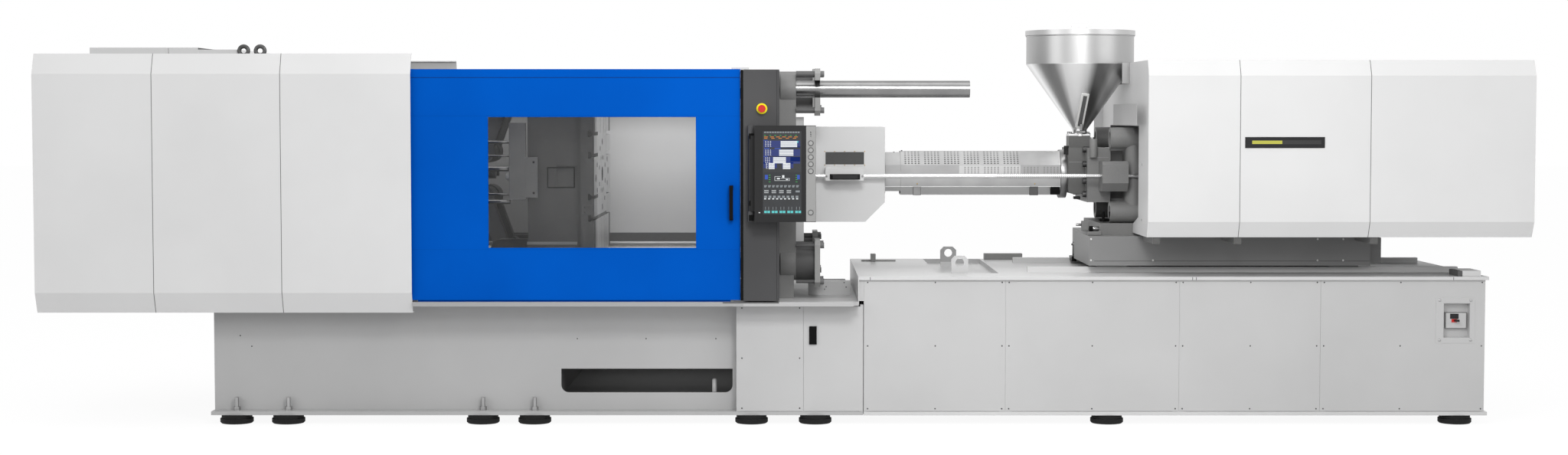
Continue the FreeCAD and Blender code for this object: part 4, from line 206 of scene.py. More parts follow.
def secondTone(name, low, high, toneHex):
    # the part of a piece between two corners gets another tone: the piece's own second tone at some uses,
    # painted shade and painted highlights at others, as noted where used
    tree = finishes[name].node_tree
    shader = tree.nodes["Principled BSDF"]
    place = next(node for node in tree.nodes if node.bl_idname == "ShaderNodeTexCoord").outputs["Object"]
    axes = addNode(tree, "ShaderNodeSeparateXYZ", links={"Vector": place})
    inside = None
    for axis, start, end in zip("XYZ", low, high):
        near = addNode(tree, "ShaderNodeMath", {"operation": "COMPARE"}, {0: axes.outputs[axis]})
        near.inputs[1].default_value = (start + end) / 2 * mm
        near.inputs[2].default_value = (end - start) / 2 * mm
        if inside:
            near = addNode(tree, "ShaderNodeMath", {"operation": "MULTIPLY"}, {0: inside, 1: near.outputs[0]})
        inside = near.outputs[0]
    # of a colour mix, 0 is the factor, 6 and 7 are the colours, and output 2 is the colour
    plain = shader.inputs["Base Color"].links[0].from_socket
    mix = addNode(tree, "ShaderNodeMix", {"data_type": "RGBA"}, {0: inside, 6: plain})
    mix.inputs[7].default_value = hexToLinear(toneHex)
    tree.links.new(mix.outputs[2], shader.inputs["Base Color"])


powderCoat("coverPaint", "D7D7D7", "DCDCDC", 0.36, 0.46)
powderCoat("basePaint", "BBBBBB", "C1C1C1", 0.38, 0.5)
powderCoat("webPaint", "B0B0B0", "B6B6B6", 0.38, 0.5)
powderCoat("deckPaint", "CACACA", "D0D0D0", 0.3, 0.4)
powderCoat("railPaint", "D2D2D2", "D8D8D8", 0.3, 0.4)
powderCoat("roofPaint", "BCBCBC", "C2C2C2", 0.4, 0.5)
powderCoat("gateFold", "004AA6", "004EAE", 0.4, 0.5, 5.0, 0.02)
powderCoat("gatePaint", "0051B4", "0056BC", 0.4, 0.5, 5.0, 0.02)
powderCoat("columnPaint", "4A4A4B", "525253", 0.45, 0.55, 5.0, 0.05)
powderCoat("sledPaint", "7E7E7E", "8A8A8A", 0.36, 0.5, 6.0, 0.3)
powderCoat("guardPaint", "CCCCCC", "D2D2D2", 0.34, 0.44)
powderCoat("rearPaint", "CDCDCD", "D3D3D3", 0.4, 0.5)
paintedCasting("castPaint", "707070", "7E7E7D")
paintedCasting("keeperPaint", "8E8E8D", "9C9C9B")
paintedCasting("throatPaint", "5E5E5D", "6A6A69")
paintedCasting("platenPaint", "525251", "5E5E5D")
machinedSteel("tieBarChrome", "868686", "8E8E8E", 0.2, 0.28)
machinedSteel("rodChrome", "E6E6E6", "EDEDED", 0.22, 0.3)
machinedSteel("threadBright", "E6E6E6", "EDEDED", 0.22, 0.3)
machinedSteel("groundSteel", "929292", "9E9E9E", 0.26, 0.42, (3.0, 60.0, 60.0))
machinedSteel("milledFace", "D4D4D4", "DEDEDE", 0.35, 0.5, (60.0, 3.0, 60.0))
machinedSteel("darkSteel", "4E4E4E", "5A5A5A", 0.32, 0.48, (3.0, 60.0, 60.0))
machinedSteel("blackOxide", "262626", "343434", 0.3, 0.44, (3.0, 20.0, 20.0))
machinedSteel("brushedStainless", "C0C0C0", "C8C8C8", 0.3, 0.4, (2.0, 2.0, 260.0))
machinedSteel("coverStainless", "989898", "A0A0A0", 0.3, 0.44, (300.0, 3.0, 3.0))
machinedSteel("coverDent", "808080", "888888", 0.34, 0.46)
machinedSteel("screwSteel", "A0A0A0", "AEAEAE", 0.25, 0.4, (2.0, 2.0, 2.0))
machinedSteel("portBrass", "A4853F", "BD9C52", 0.28, 0.42, (2.0, 40.0, 2.0))
mouldedPlastic("blackPlastic", "161617", "202022", 0.42)
mouldedPlastic("panelBlack", "141415", "1B1B1C", 0.38)
mouldedPlastic("panelStrip", "8E8E8D", "989897", 0.4)
mouldedPlastic("buttonGrey", "969695", "A2A2A1", 0.32)
mouldedPlastic("stopYellow", "E8DC00", "F4EA10", 0.4, 1.4, 0.1)
mouldedPlastic("stopRed", "B81A14", "CC241B", 0.3, 1.4, 0.4)
mouldedPlastic("padRubber", "181818", "242424", 0.62, 2.5, 0.0, 0.15)
mouldedPlastic("gapBlack", "080808", "101010", 0.7, 2.0, 0.0, 0.1)
mouldedPlastic("shadowGrey", "5A5A5A", "666666", 0.6, 2.0, 0.0, 0.1)
mouldedPlastic("whitePlastic", "DADAD8", "E6E6E4", 0.36)
mouldedPlastic("smokedLens", "303030", "3A3A3A", 0.34)
litField("litNavy", "1A3078", 0.9)
litField("litBlue", "2A57C8", 0.8)
litField("litWhite", "E8ECEE", 0.95)
litField("litGrey", "8E9498", 0.9)
litField("litDark", "2B3036", 0.6)
litField("litGreen", "35B04E", 0.8)
litField("litOrange", "E08A2E", 0.8)
litField("litCyan", "58C8C8", 0.95)
litField("litYellow", "BEBC48", 1.0)
clearPane()
displayGlass()
stainlessPaintedReflections()
secondTone("stainlessPaintedReflections", (1500, -400, 2177), (2300, 400, 2400), "B2B2B2")  # the rolled rim
secondTone("coverStainless", (600, -200, 1340), (1745, 200, 1408), "E0E0E0")  # under the cover's fold: painted highlight, lighter against the dark reflection of the underside
secondTone("coverStainless", (1102, -152, 1488), (1487, -140, 1541), "B6B6B6")  # painted highlight on the upright side round the dents, where the lamps glare
secondTone("webPaint", (-1350, -757, 0), (-309, 757, 724), "666666")  # painted shade inside the parts chute
secondTone("deckPaint", (900, 470, 893), (4300, 900, 1000), "A8A8A8")  # painted shade on the rear rail and eye
secondTone("railPaint", (-3800, -1000, 700), (-241, 1000, 800), "A2A2A2")  # the sill, left
secondTone("railPaint", (-241, -1000, 700), (420, 1000, 800), "B4B4B4")  # the sill, right
secondTone("keeperPaint", (70, -700, 700), (186, 700, 2200), "5A5A5A")  # the keepers' rods
secondTone("keeperPaint", (221, -700, 700), (250, 700, 2200), "6C6C6C")  # and their bolts
secondTone("rodChrome", (1309, -430, 1450), (2890, 430, 1510), "C2C2C2")  # the threaded part
print("finishes ready:", len(finishes))


# which CAD nodes have which finish

finishNodes = {
    "webPaint": "clamp_bed", "deckPaint": "injection_bed", "padRubber": "levelling_pads",
    "screwSteel": "levelling_bolts", "railPaint": "gate_rails", "gatePaint": "operator_gate",
    "coverPaint": "clamp_hood_left clamp_hood_centre clamp_hood_right injection_hood",
    "clearPane": "gate_window", "gapBlack": "gate_handle door_latch", "rearPaint": "rear_gate",
    "columnPaint": "column_cover panel_bracket", "stopYellow": "stop_button_ring",
    "stopRed": "stop_button", "panelBlack": "panel_housing", "displayGlass": "panel_screen",
    "castPaint": "fixed_platen rear_link_upper rear_link_lower front_link_upper front_link_lower crosshead"
                 " crosshead_arm_upper crosshead_arm_lower front_plate pressure_plate",
    "tieBarChrome": "tie_bars guide_rods plasticising_screw", "keeperPaint": "tie_bar_keepers",
    "platenPaint": "moving_platen tail_platen", "throatPaint": "throat_block",
    "groundSteel": "clamp_screw ejector_plate barrel injection_screw",
    "guardPaint": "purge_guard purge_guard_frame", "blackPlastic": "purge_guard_handle breaker_handle",
    "rodChrome": "touch_screw_front touch_screw_rear", "sledPaint": "carriage",
    "coverStainless": "barrel_cover", "stainlessPaintedReflections": "hopper", "brushedStainless": "hopper_lid",
    "basePaint": "bed_panels service_door", "portBrass": "water_manifold",
    "buttonGrey": " ".join(f"panel_button_{number}" for number in range(1, 7)),
}
for finishName, nodeNames in finishNodes.items():
    for nodeName in nodeNames.split():
        slots = cadNodes[nodeName].data.materials
        slots.clear()
        slots.append(finishes[finishName])
print("CAD nodes finished:", sum(len(names.split()) for names in finishNodes.values()))


# modelling helpers

def pickOnly(piece):
    bpy.ops.object.select_all(action="DESELECT")
    piece.select_set(True)
    bpy.context.view_layer.objects.active = piece


def bakePlace():
    bpy.ops.object.transform_apply(location=True, rotation=True, scale=True)


def settle(piece, name, finishName, body):
    # bake the place into the mesh, then give it its finish and its body
    pickOnly(piece)
    bakePlace()
    piece.name = name
    piece.data.materials.clear()
    piece.data.materials.append(finishes[finishName])
    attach(piece, body)
    return piece


def bevelEdges(piece, widthMm, segments=2):
    pickOnly(piece)
    edge = piece.modifiers.new("edge", "BEVEL")
    edge.width = widthMm * mm
    edge.segments = segments
    edge.limit_method = "ANGLE"
    edge.angle_limit = creaseAngle
    bpy.ops.object.modifier_apply(modifier="edge")


def slab(low, high, bevelMm=0.0, segments=2):
    # a block between two corners, with its edges eased
    size = [(b - a) * mm for a, b in zip(low, high)]
    middle = [(a + b) / 2 * mm for a, b in zip(low, high)]
    bpy.ops.mesh.primitive_cube_add(size=1, location=middle)
    piece = bpy.context.object
    piece.scale = size
    bakePlace()
    if bevelMm:
        bevelEdges(piece, bevelMm, segments)
    return piece


turns = {"x": (0, math.pi / 2, 0), "y": (-math.pi / 2, 0, 0), "z": (0, 0, 0)}


def drum(axis, centre, radius, length, bevelMm=0.0, sides=32):
    # a round bar about its centre
    bpy.ops.mesh.primitive_cylinder_add(vertices=sides, radius=radius * mm, depth=length * mm,
                                        location=[c * mm for c in centre], rotation=turns[axis])
    piece = bpy.context.object
    bakePlace()
    if bevelMm:
        bevelEdges(piece, bevelMm, 2)
    bpy.ops.object.shade_smooth_by_angle(angle=creaseAngle)
    return piece


def joinAll(pieces):
    bpy.ops.object.select_all(action="DESELECT")
    for piece in pieces:
        piece.select_set(True)
    bpy.context.view_layer.objects.active = pieces[0]
    if len(pieces) > 1:
        bpy.ops.object.join()
    return pieces[0]


def blockSet(name, finishName, body, corners, bevelMm=0.6, segments=1):
    # several blocks, each between two corners, as one piece
    blocks = [slab(low, high, bevelMm, segments) for low, high in corners]
    return settle(joinAll(blocks), name, finishName, body)


def drumSet(name, finishName, body, axis, drums, bevelMm=0.5, sides=20):
    # several round bars as one piece: (centre, radius, length)
    bars = [drum(axis, centre, radius, length, bevelMm, sides) for centre, radius, length in drums]
    return settle(joinAll(bars), name, finishName, body)


def copySet(name, finishName, body, source, places):
    # the source stands at the origin, each copy gets its own mesh at its place, all as one piece
    copies = []
    for place in places:
        copy = source.copy()
        copy.data = source.data.copy()
        copy.location = [c * mm for c in place]
        bpy.context.collection.objects.link(copy)
        copies.append(copy)
    bpy.data.objects.remove(source)
    return settle(joinAll(copies), name, finishName, body)


def rimCorners(left, right, low, high, front, back, wide):
    # four bars inside an outline in mm, as pairs of corners for blockSet
    return [((left, front, low), (right, back, low + wide)),
            ((left, front, high - wide), (right, back, high)),
            ((left, front, low + wide), (left + wide, back, high - wide)),
            ((right - wide, front, low + wide), (right, back, high - wide))]


def socketScrew(axis, radius, height, direction=-1, sides=16):
    # a socket head cap screw at the origin: inset top, sunk socket, standing off along the axis
    bpy.ops.mesh.primitive_cylinder_add(vertices=sides, radius=radius * mm, depth=height * mm,
                                        location=(0, 0, height / 2 * mm))
    piece = bpy.context.object
    bpy.ops.object.mode_set(mode="EDIT")
    bpy.ops.mesh.select_all(action="DESELECT")
    shape = bmesh.from_edit_mesh(piece.data)
    for face in shape.faces:
        face.select_set(face.normal.z > 0.9)
    bmesh.update_edit_mesh(piece.data)
    bpy.ops.mesh.inset(thickness=radius * 0.12 * mm)  # the head's chamfer
    bpy.ops.mesh.inset(thickness=radius * 0.4 * mm)  # its ring round the socket
    bpy.ops.mesh.extrude_region_move(TRANSFORM_OT_translate={"value": (0, 0, -height * 0.5 * mm)})
    bpy.ops.object.mode_set(mode="OBJECT")
    piece.rotation_euler = {"x": (0, direction * math.pi / 2, 0), "y": (-direction * math.pi / 2, 0, 0),
                            "z": (0, 0, 0)}[axis]
    bakePlace()
    bpy.ops.object.shade_smooth_by_angle(angle=creaseAngle)
    return piece


def panScrew(radius, height):
    # the domed head of a small screw on a face that looks to the operator
    bpy.ops.mesh.primitive_uv_sphere_add(segments=12, ring_count=8, radius=radius * mm)
    piece = bpy.context.object
    piece.scale = (1, height / radius, 1)
    bakePlace()
    bpy.ops.object.shade_smooth()
    return piece


# camera, light and floor

def makeCamera():
    view = {"lensMm": 53.37, "sensorMm": 36.0, "eye": (0.0, -14.770, 1.857), "pitchDeg": 2.772}
    bpy.ops.object.camera_add(location=view["eye"], rotation=(math.radians(90 - view["pitchDeg"]), 0, 0))
    camera = bpy.context.object
    camera.data.lens = view["lensMm"]
    camera.data.sensor_width = view["sensorMm"]
    camera.data.clip_end = 200
    bpy.context.scene.camera = camera


def makeSky():
    # white wherever the camera, glass or metal sees it, softer light on the object itself
    sky = {"strength": 0.7, "fromBelow": 0.62}
    world = bpy.data.worlds.new("studioSky")
    bpy.context.scene.world = world
    world.use_nodes = True
    tree = world.node_tree
    tree.nodes.clear()
    path = addNode(tree, "ShaderNodeLightPath").outputs
    mirrored = addNode(tree, "ShaderNodeMath", {"operation": "MAXIMUM"},
                       {0: path["Is Glossy Ray"], 1: path["Is Transmission Ray"]})
    seen = addNode(tree, "ShaderNodeMath", {"operation": "MAXIMUM"},
                   {0: path["Is Camera Ray"], 1: mirrored.outputs[0]})
    upward = addNode(tree, "ShaderNodeTexCoord")
    split = addNode(tree, "ShaderNodeSeparateXYZ", links={"Vector": upward.outputs["Generated"]})
    fade = addNode(tree, "ShaderNodeMapRange", {"From Min": -0.3, "From Max": 0.9, "To Min": sky["fromBelow"],
                                                "To Max": sky["strength"]}, {"Value": split.outputs["Z"]})
    dim = addNode(tree, "ShaderNodeBackground", {"Color": (1, 1, 1, 1)}, {"Strength": fade.outputs["Result"]})
    white = addNode(tree, "ShaderNodeBackground", {"Color": (1, 1, 1, 1), "Strength": 1.0})
    mix = addNode(tree, "ShaderNodeMixShader", links={0: seen.outputs[0], 1: dim.outputs[0],
                                                      2: white.outputs[0]})
    addNode(tree, "ShaderNodeOutputWorld", links={"Surface": mix.outputs[0]})


def makeLamps():
    # name, place, size, power, aim
    lamps = (
        ("frontLamp", (0.6, -5.0, 4.2), (1.5, 1.0), 100, (0.9, 0.0, 1.5)),
        ("injectionLamp", (1.7, -6.8, 3.4), (1.2, 1.2), 55, (1.7, 0.0, 1.5)),
        ("topLamp", (0.0, -1.5, 7.5), (11.0, 4.0), 160, (0.0, 0.0, 1.0)),
        ("leftLamp", (-9.0, -6.0, 3.5), (6.0, 4.0), 125, (-2.0, 0.0, 1.2)),
        ("rightLamp", (9.0, -6.0, 3.5), (6.0, 4.0), 80, (2.0, 0.0, 1.2)),
        ("mouldLamp", (-0.75, -0.4, 1.5), (1.0, 1.1), 5.5, (-0.75, 0.9, 1.45)),  # work light inside
    )
    for name, place, size, power, aim in lamps:
        bpy.ops.object.light_add(type="AREA", location=place)
        lamp = bpy.context.object
        lamp.name = name
        lamp.data.shape = "RECTANGLE"
        lamp.data.size, lamp.data.size_y = size
        lamp.data.energy = power
        lamp.rotation_euler = (Vector(aim) - Vector(place)).to_track_quat("-Z", "Y").to_euler()


def makeFloor():
    # matt pale floor that keeps the shadow and turns white for the camera and for mirroring metal
    ground = {"size": 140, "tone": "CBCBCB", "glow": 1.09, "share": 0.85}
    bpy.ops.mesh.primitive_plane_add(size=1, location=(0, 0, 0))
    floor = bpy.context.object
    floor.name = "floor"
    floor.scale = (ground["size"], ground["size"], 1)
    tree, shader = newFinish("paleFloor")[:2]
    shader.inputs["Base Color"].default_value = hexToLinear(ground["tone"])
    shader.inputs["Roughness"].default_value = 0.9
    shader.inputs["Specular IOR Level"].default_value = 0.1
    glow = addNode(tree, "ShaderNodeEmission", {"Color": (1, 1, 1, 1), "Strength": ground["glow"]})
    path = addNode(tree, "ShaderNodeLightPath").outputs
    either = addNode(tree, "ShaderNodeMath", {"operation": "MAXIMUM"},
                     {0: path["Is Camera Ray"], 1: path["Is Glossy Ray"]})
    share = addNode(tree, "ShaderNodeMath", {"operation": "MULTIPLY"}, {0: either.outputs[0]})
    share.inputs[1].default_value = ground["share"]
    mix = addNode(tree, "ShaderNodeMixShader", links={0: share.outputs[0], 1: shader.outputs[0],
                                                      2: glow.outputs[0]})
    tree.links.new(mix.outputs[0], tree.nodes["Material Output"].inputs["Surface"])
    floor.data.materials.append(finishes["paleFloor"])


makeCamera()
makeSky()
makeLamps()
makeFloor()
bpy.context.scene.view_settings.view_transform = "Standard"
print("studio ready")


# control panel: the lit picture, the key rows and the lamps on the strip

def makePicture():
    picture = {"left": -121, "right": 99, "top": 1759, "high": 437, "face": -1125, "layer": 0.3,
               "wordPitch": 0.0138, "cellPitch": 0.0212}
    width = picture["right"] - picture["left"]

    def field(x0, x1, y0, y1, layers):
        # a lit field between shares of the picture's width and height, from the left and the top
        left, right = (picture["left"] + share * width for share in (x0, x1))
        top, bottom = (picture["top"] - share * picture["high"] for share in (y0, y1))
        return slab((left, picture["face"] - picture["layer"] * layers, bottom),
                    (right, picture["face"], top))

    def dashes(y, count, fill, high=0.011, start=0.02, end=0.98):
        # a row of short words, none of them readable
        step = (end - start) / count
        return [(start + step * n, start + step * (n + fill), y, y + high) for n in range(count)]

    # tables of values, a dark head with its cells and a white list beside it: top, cells, list
    tables = [(0.12, 0.0, 0.24, 0.46, 0.9), (0.236, 0.0, 0.24, 0.42, 0.8), (0.337, 0.0, 0.2, 0.26, 0.6)]
    small = [(0.415, 0.02, 0.3, 0.14, 0.3), (0.415, 0.54, 0.66, 0.52, 0.72)]
    lamps = [0.58 + 0.03 * n for n in range(4)]
    under = {
        "litNavy": [(0.0, 0.98, table[0], table[0] + 0.092) for table in tables]
                   + [(0.0, 0.36, 0.41, 0.49), (0.5, 0.8, 0.41, 0.49)],
        "litDark": [(0.62, 1.0, 0.2, 0.235), (0.0, 1.0, 0.545, 0.7), (0.0, 1.0, 0.715, 0.755),
                    (0.0, 1.0, 0.775, 0.84), (0.72, 0.98, 0.34, 0.4)],
    }
    over = {
        "litGrey": dashes(0.0, 14, 0.8, 0.018) + dashes(0.72, 9, 0.7, 0.014)
                   + dashes(0.736, 9, 0.55, 0.012) + dashes(0.86, 8, 0.6, 0.03)
                   + [(0.86, 0.97, 0.79, 0.815)],
        "litGreen": dashes(0.046, 7, 0.35, 0.008)
                    + [(x, x + 0.05, y, y + 0.008) for x in (0.14, 0.86) for y in lamps],
        "litOrange": dashes(0.066, 6, 0.62, 0.01) + dashes(0.084, 5, 0.45, 0.01),
        "litBlue": [(0.0, 0.12, 0.113, 0.119), (0.02, 0.16, 0.22, 0.231), (0.3, 0.46, 0.22, 0.231),
                    (0.0, 0.12, 0.33, 0.336), (0.04, 0.12, 0.58, 0.64), (0.9, 0.97, 0.58, 0.64)],
        "litCyan": [(0.84, 0.93, 0.125, 0.15), (0.66, 0.8, 0.31, 0.322)],
    }
    words = []
    for y, x0, x1, listStart, listEnd in tables + small:
        first = y + 0.006
        for n in range(6):
            words += dashes(first + n * picture["wordPitch"], 3, 0.5 if n % 2 else 0.35, 0.006, x0 + 0.05, x1)
        words += [(listStart, listEnd, first + n * picture["cellPitch"],
                   first + 0.0175 + n * picture["cellPitch"])
                  for n in range(4)]
    for n in range(3):
        words += dashes(0.785 + n * 0.017, 4, 0.6, 0.005, 0.02, 0.82)
    words += dashes(0.895, 9, 0.5, 0.014)
    # the outline of a machine, drawn with thin lines
    words += [(0.3, 0.7, 0.655, 0.659), (0.3, 0.31, 0.6, 0.659), (0.3, 0.46, 0.6, 0.604),
              (0.46, 0.7, 0.625, 0.629), (0.69, 0.7, 0.625, 0.659), (0.36, 0.44, 0.62, 0.64),
              (0.5, 0.56, 0.585, 0.62), (0.6, 0.66, 0.635, 0.65)]
    for layers, group in ((1, under), (2, over)):
        for finishName, places in group.items():
            lit = joinAll([field(*place, layers) for place in places])
            settle(lit, "screen_" + finishName, finishName, "control_panel")
    settle(joinAll([field(*place, 3) for place in words]), "screen_words", "litWhite", "control_panel")


def makePanelFace():
    # five pairs of touch keys under the picture, with their thin leads
    keys = {"low": 1281, "high": 1295, "starts": (-116, -72, -26, 20, 66), "half": 17, "gap": 1.5,
            "leadLow": 1301, "leadHigh": 1318, "leadIn": 6, "leadWide": 2.5, "face": -1125}
    pads, leads = [], []
    for start in keys["starts"]:
        for left in (start, start + keys["half"] + keys["gap"]):
            right = left + keys["half"] - keys["gap"]
            pads.append(((left, keys["face"] - 0.7, keys["low"]), (right, keys["face"], keys["high"])))
            leads.append(((left + keys["leadIn"], keys["face"] - 0.6, keys["leadLow"]),
                          (left + keys["leadIn"] + keys["leadWide"], keys["face"], keys["leadHigh"])))
    blockSet("panel_keys", "litCyan", "control_panel", pads, 0.3)
    blockSet("panel_leads", "litGrey", "control_panel", leads, 0.2)
    # grey strip with the buttons' collars and three lamps, heights of each
    strip = {"x": 157, "face": -1126.6, "buttons": (1691, 1650, 1609, 1568, 1527, 1284),
             "lamps": (1756, 1744, 1733)}
    blockSet("panel_strip", "panelStrip", "control_panel", [((130, -1126, 1231), (186, -1124.8, 1792))], 0.4)
    collars = [((strip["x"], strip["face"], z), 17, 1.6) for z in strip["buttons"]]
    drumSet("button_collars", "shadowGrey", "control_panel", "y", collars, 0.4, 24)
    lamps = [((strip["x"], strip["face"], z), 3.2, 1.6) for z in strip["lamps"]]
    drumSet("strip_lamps", "litDark", "control_panel", "y", lamps, 0.5, 12)
    blockSet("panel_port", "litWhite", "control_panel", [((-149, -1125.5, 1281), (-140, -1125, 1286))], 0.2)
    # the folded edge of the bracket behind the panel, with its latch slots
    slots = [((-207, -1067, low), (-179, -1065.5, high)) for low,
             high in ((1716, 1748), (1322, 1351), (1232, 1268))]
    blockSet("bracket_slots", "gapBlack", "frame", slots, 0.5)


makePicture()
makePanelFace()
print("panel face made")


# hoods: display bar, seam lines, roof box, lifting rings, wall of the hopper's room
def makeHoodTrim():
    bar = {"left": 2730, "right": 3202, "low": 1661, "high": 1726, "face": -1000, "proud": 4}
    body = slab((bar["left"], bar["face"] - bar["proud"], bar["low"]),
                (bar["right"], bar["face"], bar["high"]), 1.2)
    settle(body, "status_bar", "blackPlastic", "carriage")
    front = bar["face"] - bar["proud"]
    blockSet("status_lens", "smokedLens", "carriage", [((2771, front - 0.6, 1683), (3180, front, 1707))], 0.3)
    blockSet("status_light", "litYellow", "carriage",
             [((2771, front - 1.2, 1685), (2949, front - 0.6, 1705))], 0.3)
    # body, places of the lines, bottom and top of the hood, height of its slopes
    seams = {
        "clamp_seams": ("frame", (-3743, -2982), 680, 2220, 121),
        "injection_seams": ("carriage", (2702, 3475), 1130, 2182, 93),
    }
    half, deep, wall, roof = 1.6, 0.5, 1000, 955
    for name, (bodyName, places, low, high, bevel) in seams.items():
        lines = []
        for x in places:
            for y in (-wall, wall):
                lines.append(slab((x - half, y - deep, low + bevel), (x + half, y + deep, high - bevel)))
            lines.append(slab((x - half, -roof, high - deep), (x + half, roof, high + deep)))
            for side in (-1, 1):
                for start, end in (((roof, low), (wall, low + bevel)), ((wall, high - bevel), (roof, high))):
                    length = math.hypot(end[0] - start[0], end[1] - start[1])
                    line = slab((-half, -deep, -length / 2), (half, deep, length / 2))
                    lean = math.atan2(end[0] - start[0], end[1] - start[1]) * side
                    line.rotation_euler = (-lean, 0, 0)
                    line.location = (x * mm, side * (start[0] + end[0]) / 2 * mm,
                                     (start[1] + end[1]) / 2 * mm)
                    pickOnly(line)
                    bakePlace()
                    lines.append(line)
        settle(joinAll(lines), name, "shadowGrey", bodyName)
    # folded faces of the roof box and its tray, a dark wedge between them painted as the shade on the box's
    # end face, the lifting rings
    blockSet("roof_box_face", "roofPaint", "frame",
             [((-4221, -601, 2221), (-3745, -600, 2265)), ((-3741, -601, 2221), (-3563, -600, 2265))], 0.3)
    blockSet("roof_tray_face", "roofPaint", "frame", [((-3561, -601, 2221), (-3326, -600, 2253))], 0.3)
    bpy.ops.mesh.primitive_cylinder_add(vertices=3, radius=0.03, depth=0.0012)
    endShade = bpy.context.object
    bpy.ops.object.mode_set(mode="EDIT")
    shape = bmesh.from_edit_mesh(endShade.data)
    inOrder = sorted(shape.verts, key=lambda v: (round(v.co.z, 4), round(v.co.x, 4), v.co.y))
    for vertex, (x, z) in zip(inOrder, 2 * ((-3562, 2264), (-3562, 2254), (-3474, 2254))):
        vertex.co = (x * mm, (-601.2 if vertex.co.z < 0 else -600) * mm, z * mm)
    bmesh.update_edit_mesh(endShade.data)
    bpy.ops.mesh.select_all(action="SELECT")
    bpy.ops.mesh.normals_make_consistent(inside=False)
    bpy.ops.object.mode_set(mode="OBJECT")
    settle(endShade, "roof_box_end_shade", "shadowGrey", "frame")
    rings = []
    for x in (-3285, -3185):
        bpy.ops.mesh.primitive_torus_add(major_radius=0.027, minor_radius=0.0125, major_segments=40,
                                         minor_segments=14,
                                         location=(x * mm, -0.6, 2.246), rotation=(math.pi / 2, 0, 0))
        bpy.ops.object.shade_smooth()
        rings.append(bpy.context.object)
    settle(joinAll(rings), "roof_lifting_rings", "darkSteel", "frame")
    # dark plates on the ends of the bars under the hood's lower edge: painted shade from the hood above
    ends = [((x - 1, -948.2, 1089), (x + 41, -947, 1130)) for x in (2198, 2682, 3495)]
    blockSet("hood_bar_painted_shade", "platenPaint", "carriage", ends, 0.3)
    # the rolled wall of the room that the hopper stands in, where it runs into the hood
    room = {"radius": 360, "place": hopperX, "low": 2052, "high": 2181, "wall": 2, "cut": 2104}
    bpy.ops.mesh.primitive_cylinder_add(vertices=128, radius=room["radius"] * mm,
                                        depth=(room["high"] - room["low"]) * mm, end_fill_type="NOTHING",
                                        location=(room["place"] * mm, 0,
                                                  (room["high"] + room["low"]) / 2 * mm))
    wall = bpy.context.object
    bakePlace()
    bpy.ops.object.mode_set(mode="EDIT")
    bpy.ops.mesh.select_all(action="SELECT")
    bpy.ops.mesh.bisect(plane_co=(room["cut"] * mm, 0, 0), plane_no=(1, 0, 0), clear_inner=True)
    bpy.ops.object.mode_set(mode="OBJECT")
    sheet = wall.modifiers.new("sheet", "SOLIDIFY")
    sheet.thickness = room["wall"] * mm
    sheet.offset = 1
    pickOnly(wall)
    bpy.ops.object.modifier_apply(modifier="sheet")
    settle(wall, "hopper_room_wall", "basePaint", "carriage")
    blockSet("hood_wall_plate", "webPaint", "carriage", [((2098.4, -925, 1794), (2100, 60, 1924))], 0.4)
    print("hood trim made")


makeHoodTrim()


# operator's gate: pressed lines, window seal
def makeGateTrim():
    gate = {"left": -2240, "right": -259, "face": -973}
    for name, finishName, levels in (("gate_line_top", "gapBlack", (2078,)),
                                     ("gate_lines", "gateFold", (1851, 1058))):
        lines = [((gate["left"] + 2, gate["face"] - 0.4, z - 1.2),
                  (gate["right"] - 2, gate["face"] + 0.4, z + 1.2))
                 for z in levels]
        blockSet(name, finishName, "operator_gate", lines, 0)
    seal = {"left": -1761, "right": -518, "low": 1063, "high": 1849, "front": -973.6, "back": -960, "wide": 5}
    blockSet("gate_seal", "gatePaint", "operator_gate", rimCorners(**seal), 0.8)
    print("gate trim made")


makeGateTrim()


# column: a black strip painted as the shade in the gap beside it, a dark fold line, a painted shadow on the
# sill below, and the fixed platen's round shoulders behind it
def makeColumnTrim():
    blockSet("column_gap_shade", "gapBlack", "frame", [((-257.5, -998, 756), (-241.5, -976, 2123))], 1.5)
    blockSet("column_folds", "gapBlack", "frame", [((-44.6, -1000.4, 760), (-43.4, -999.6, 2119))], 0.2)
    # a dark strip on the sill under the column: painted shadow
    blockSet("column_sill_painted_shadow", "shadowGrey", "frame", [((-364, -990.6, 738), (-30, -990, 746))], 0.2)
    shoulders = [((24, -566, z), 97, 94) for z in (954, 2014)]
    drumSet("platen_shoulders", "castPaint", "frame", "x", shoulders, 4, 64)
    print("column trim made")


makeColumnTrim()


# behind the window: the moving platen's machined face, its holes and brackets, the rear gate's rails
def pierce(piece):
    # room in the platen's face for the five ejector pins
    places = [(y, axisHeight + z) for y in (-100, 100) for z in (-100, 100)] + [(0, axisHeight)]
    pins = joinAll([drum("x", (-1155, y, z), 16.5, 30) for y, z in places])
    pickOnly(piece)
    room = piece.modifiers.new("pinRoom", "BOOLEAN")
    room.operation = "DIFFERENCE"
    room.solver = "EXACT"
    room.object = pins
    bpy.ops.object.modifier_apply(modifier="pinRoom")
    bpy.data.objects.remove(pins)


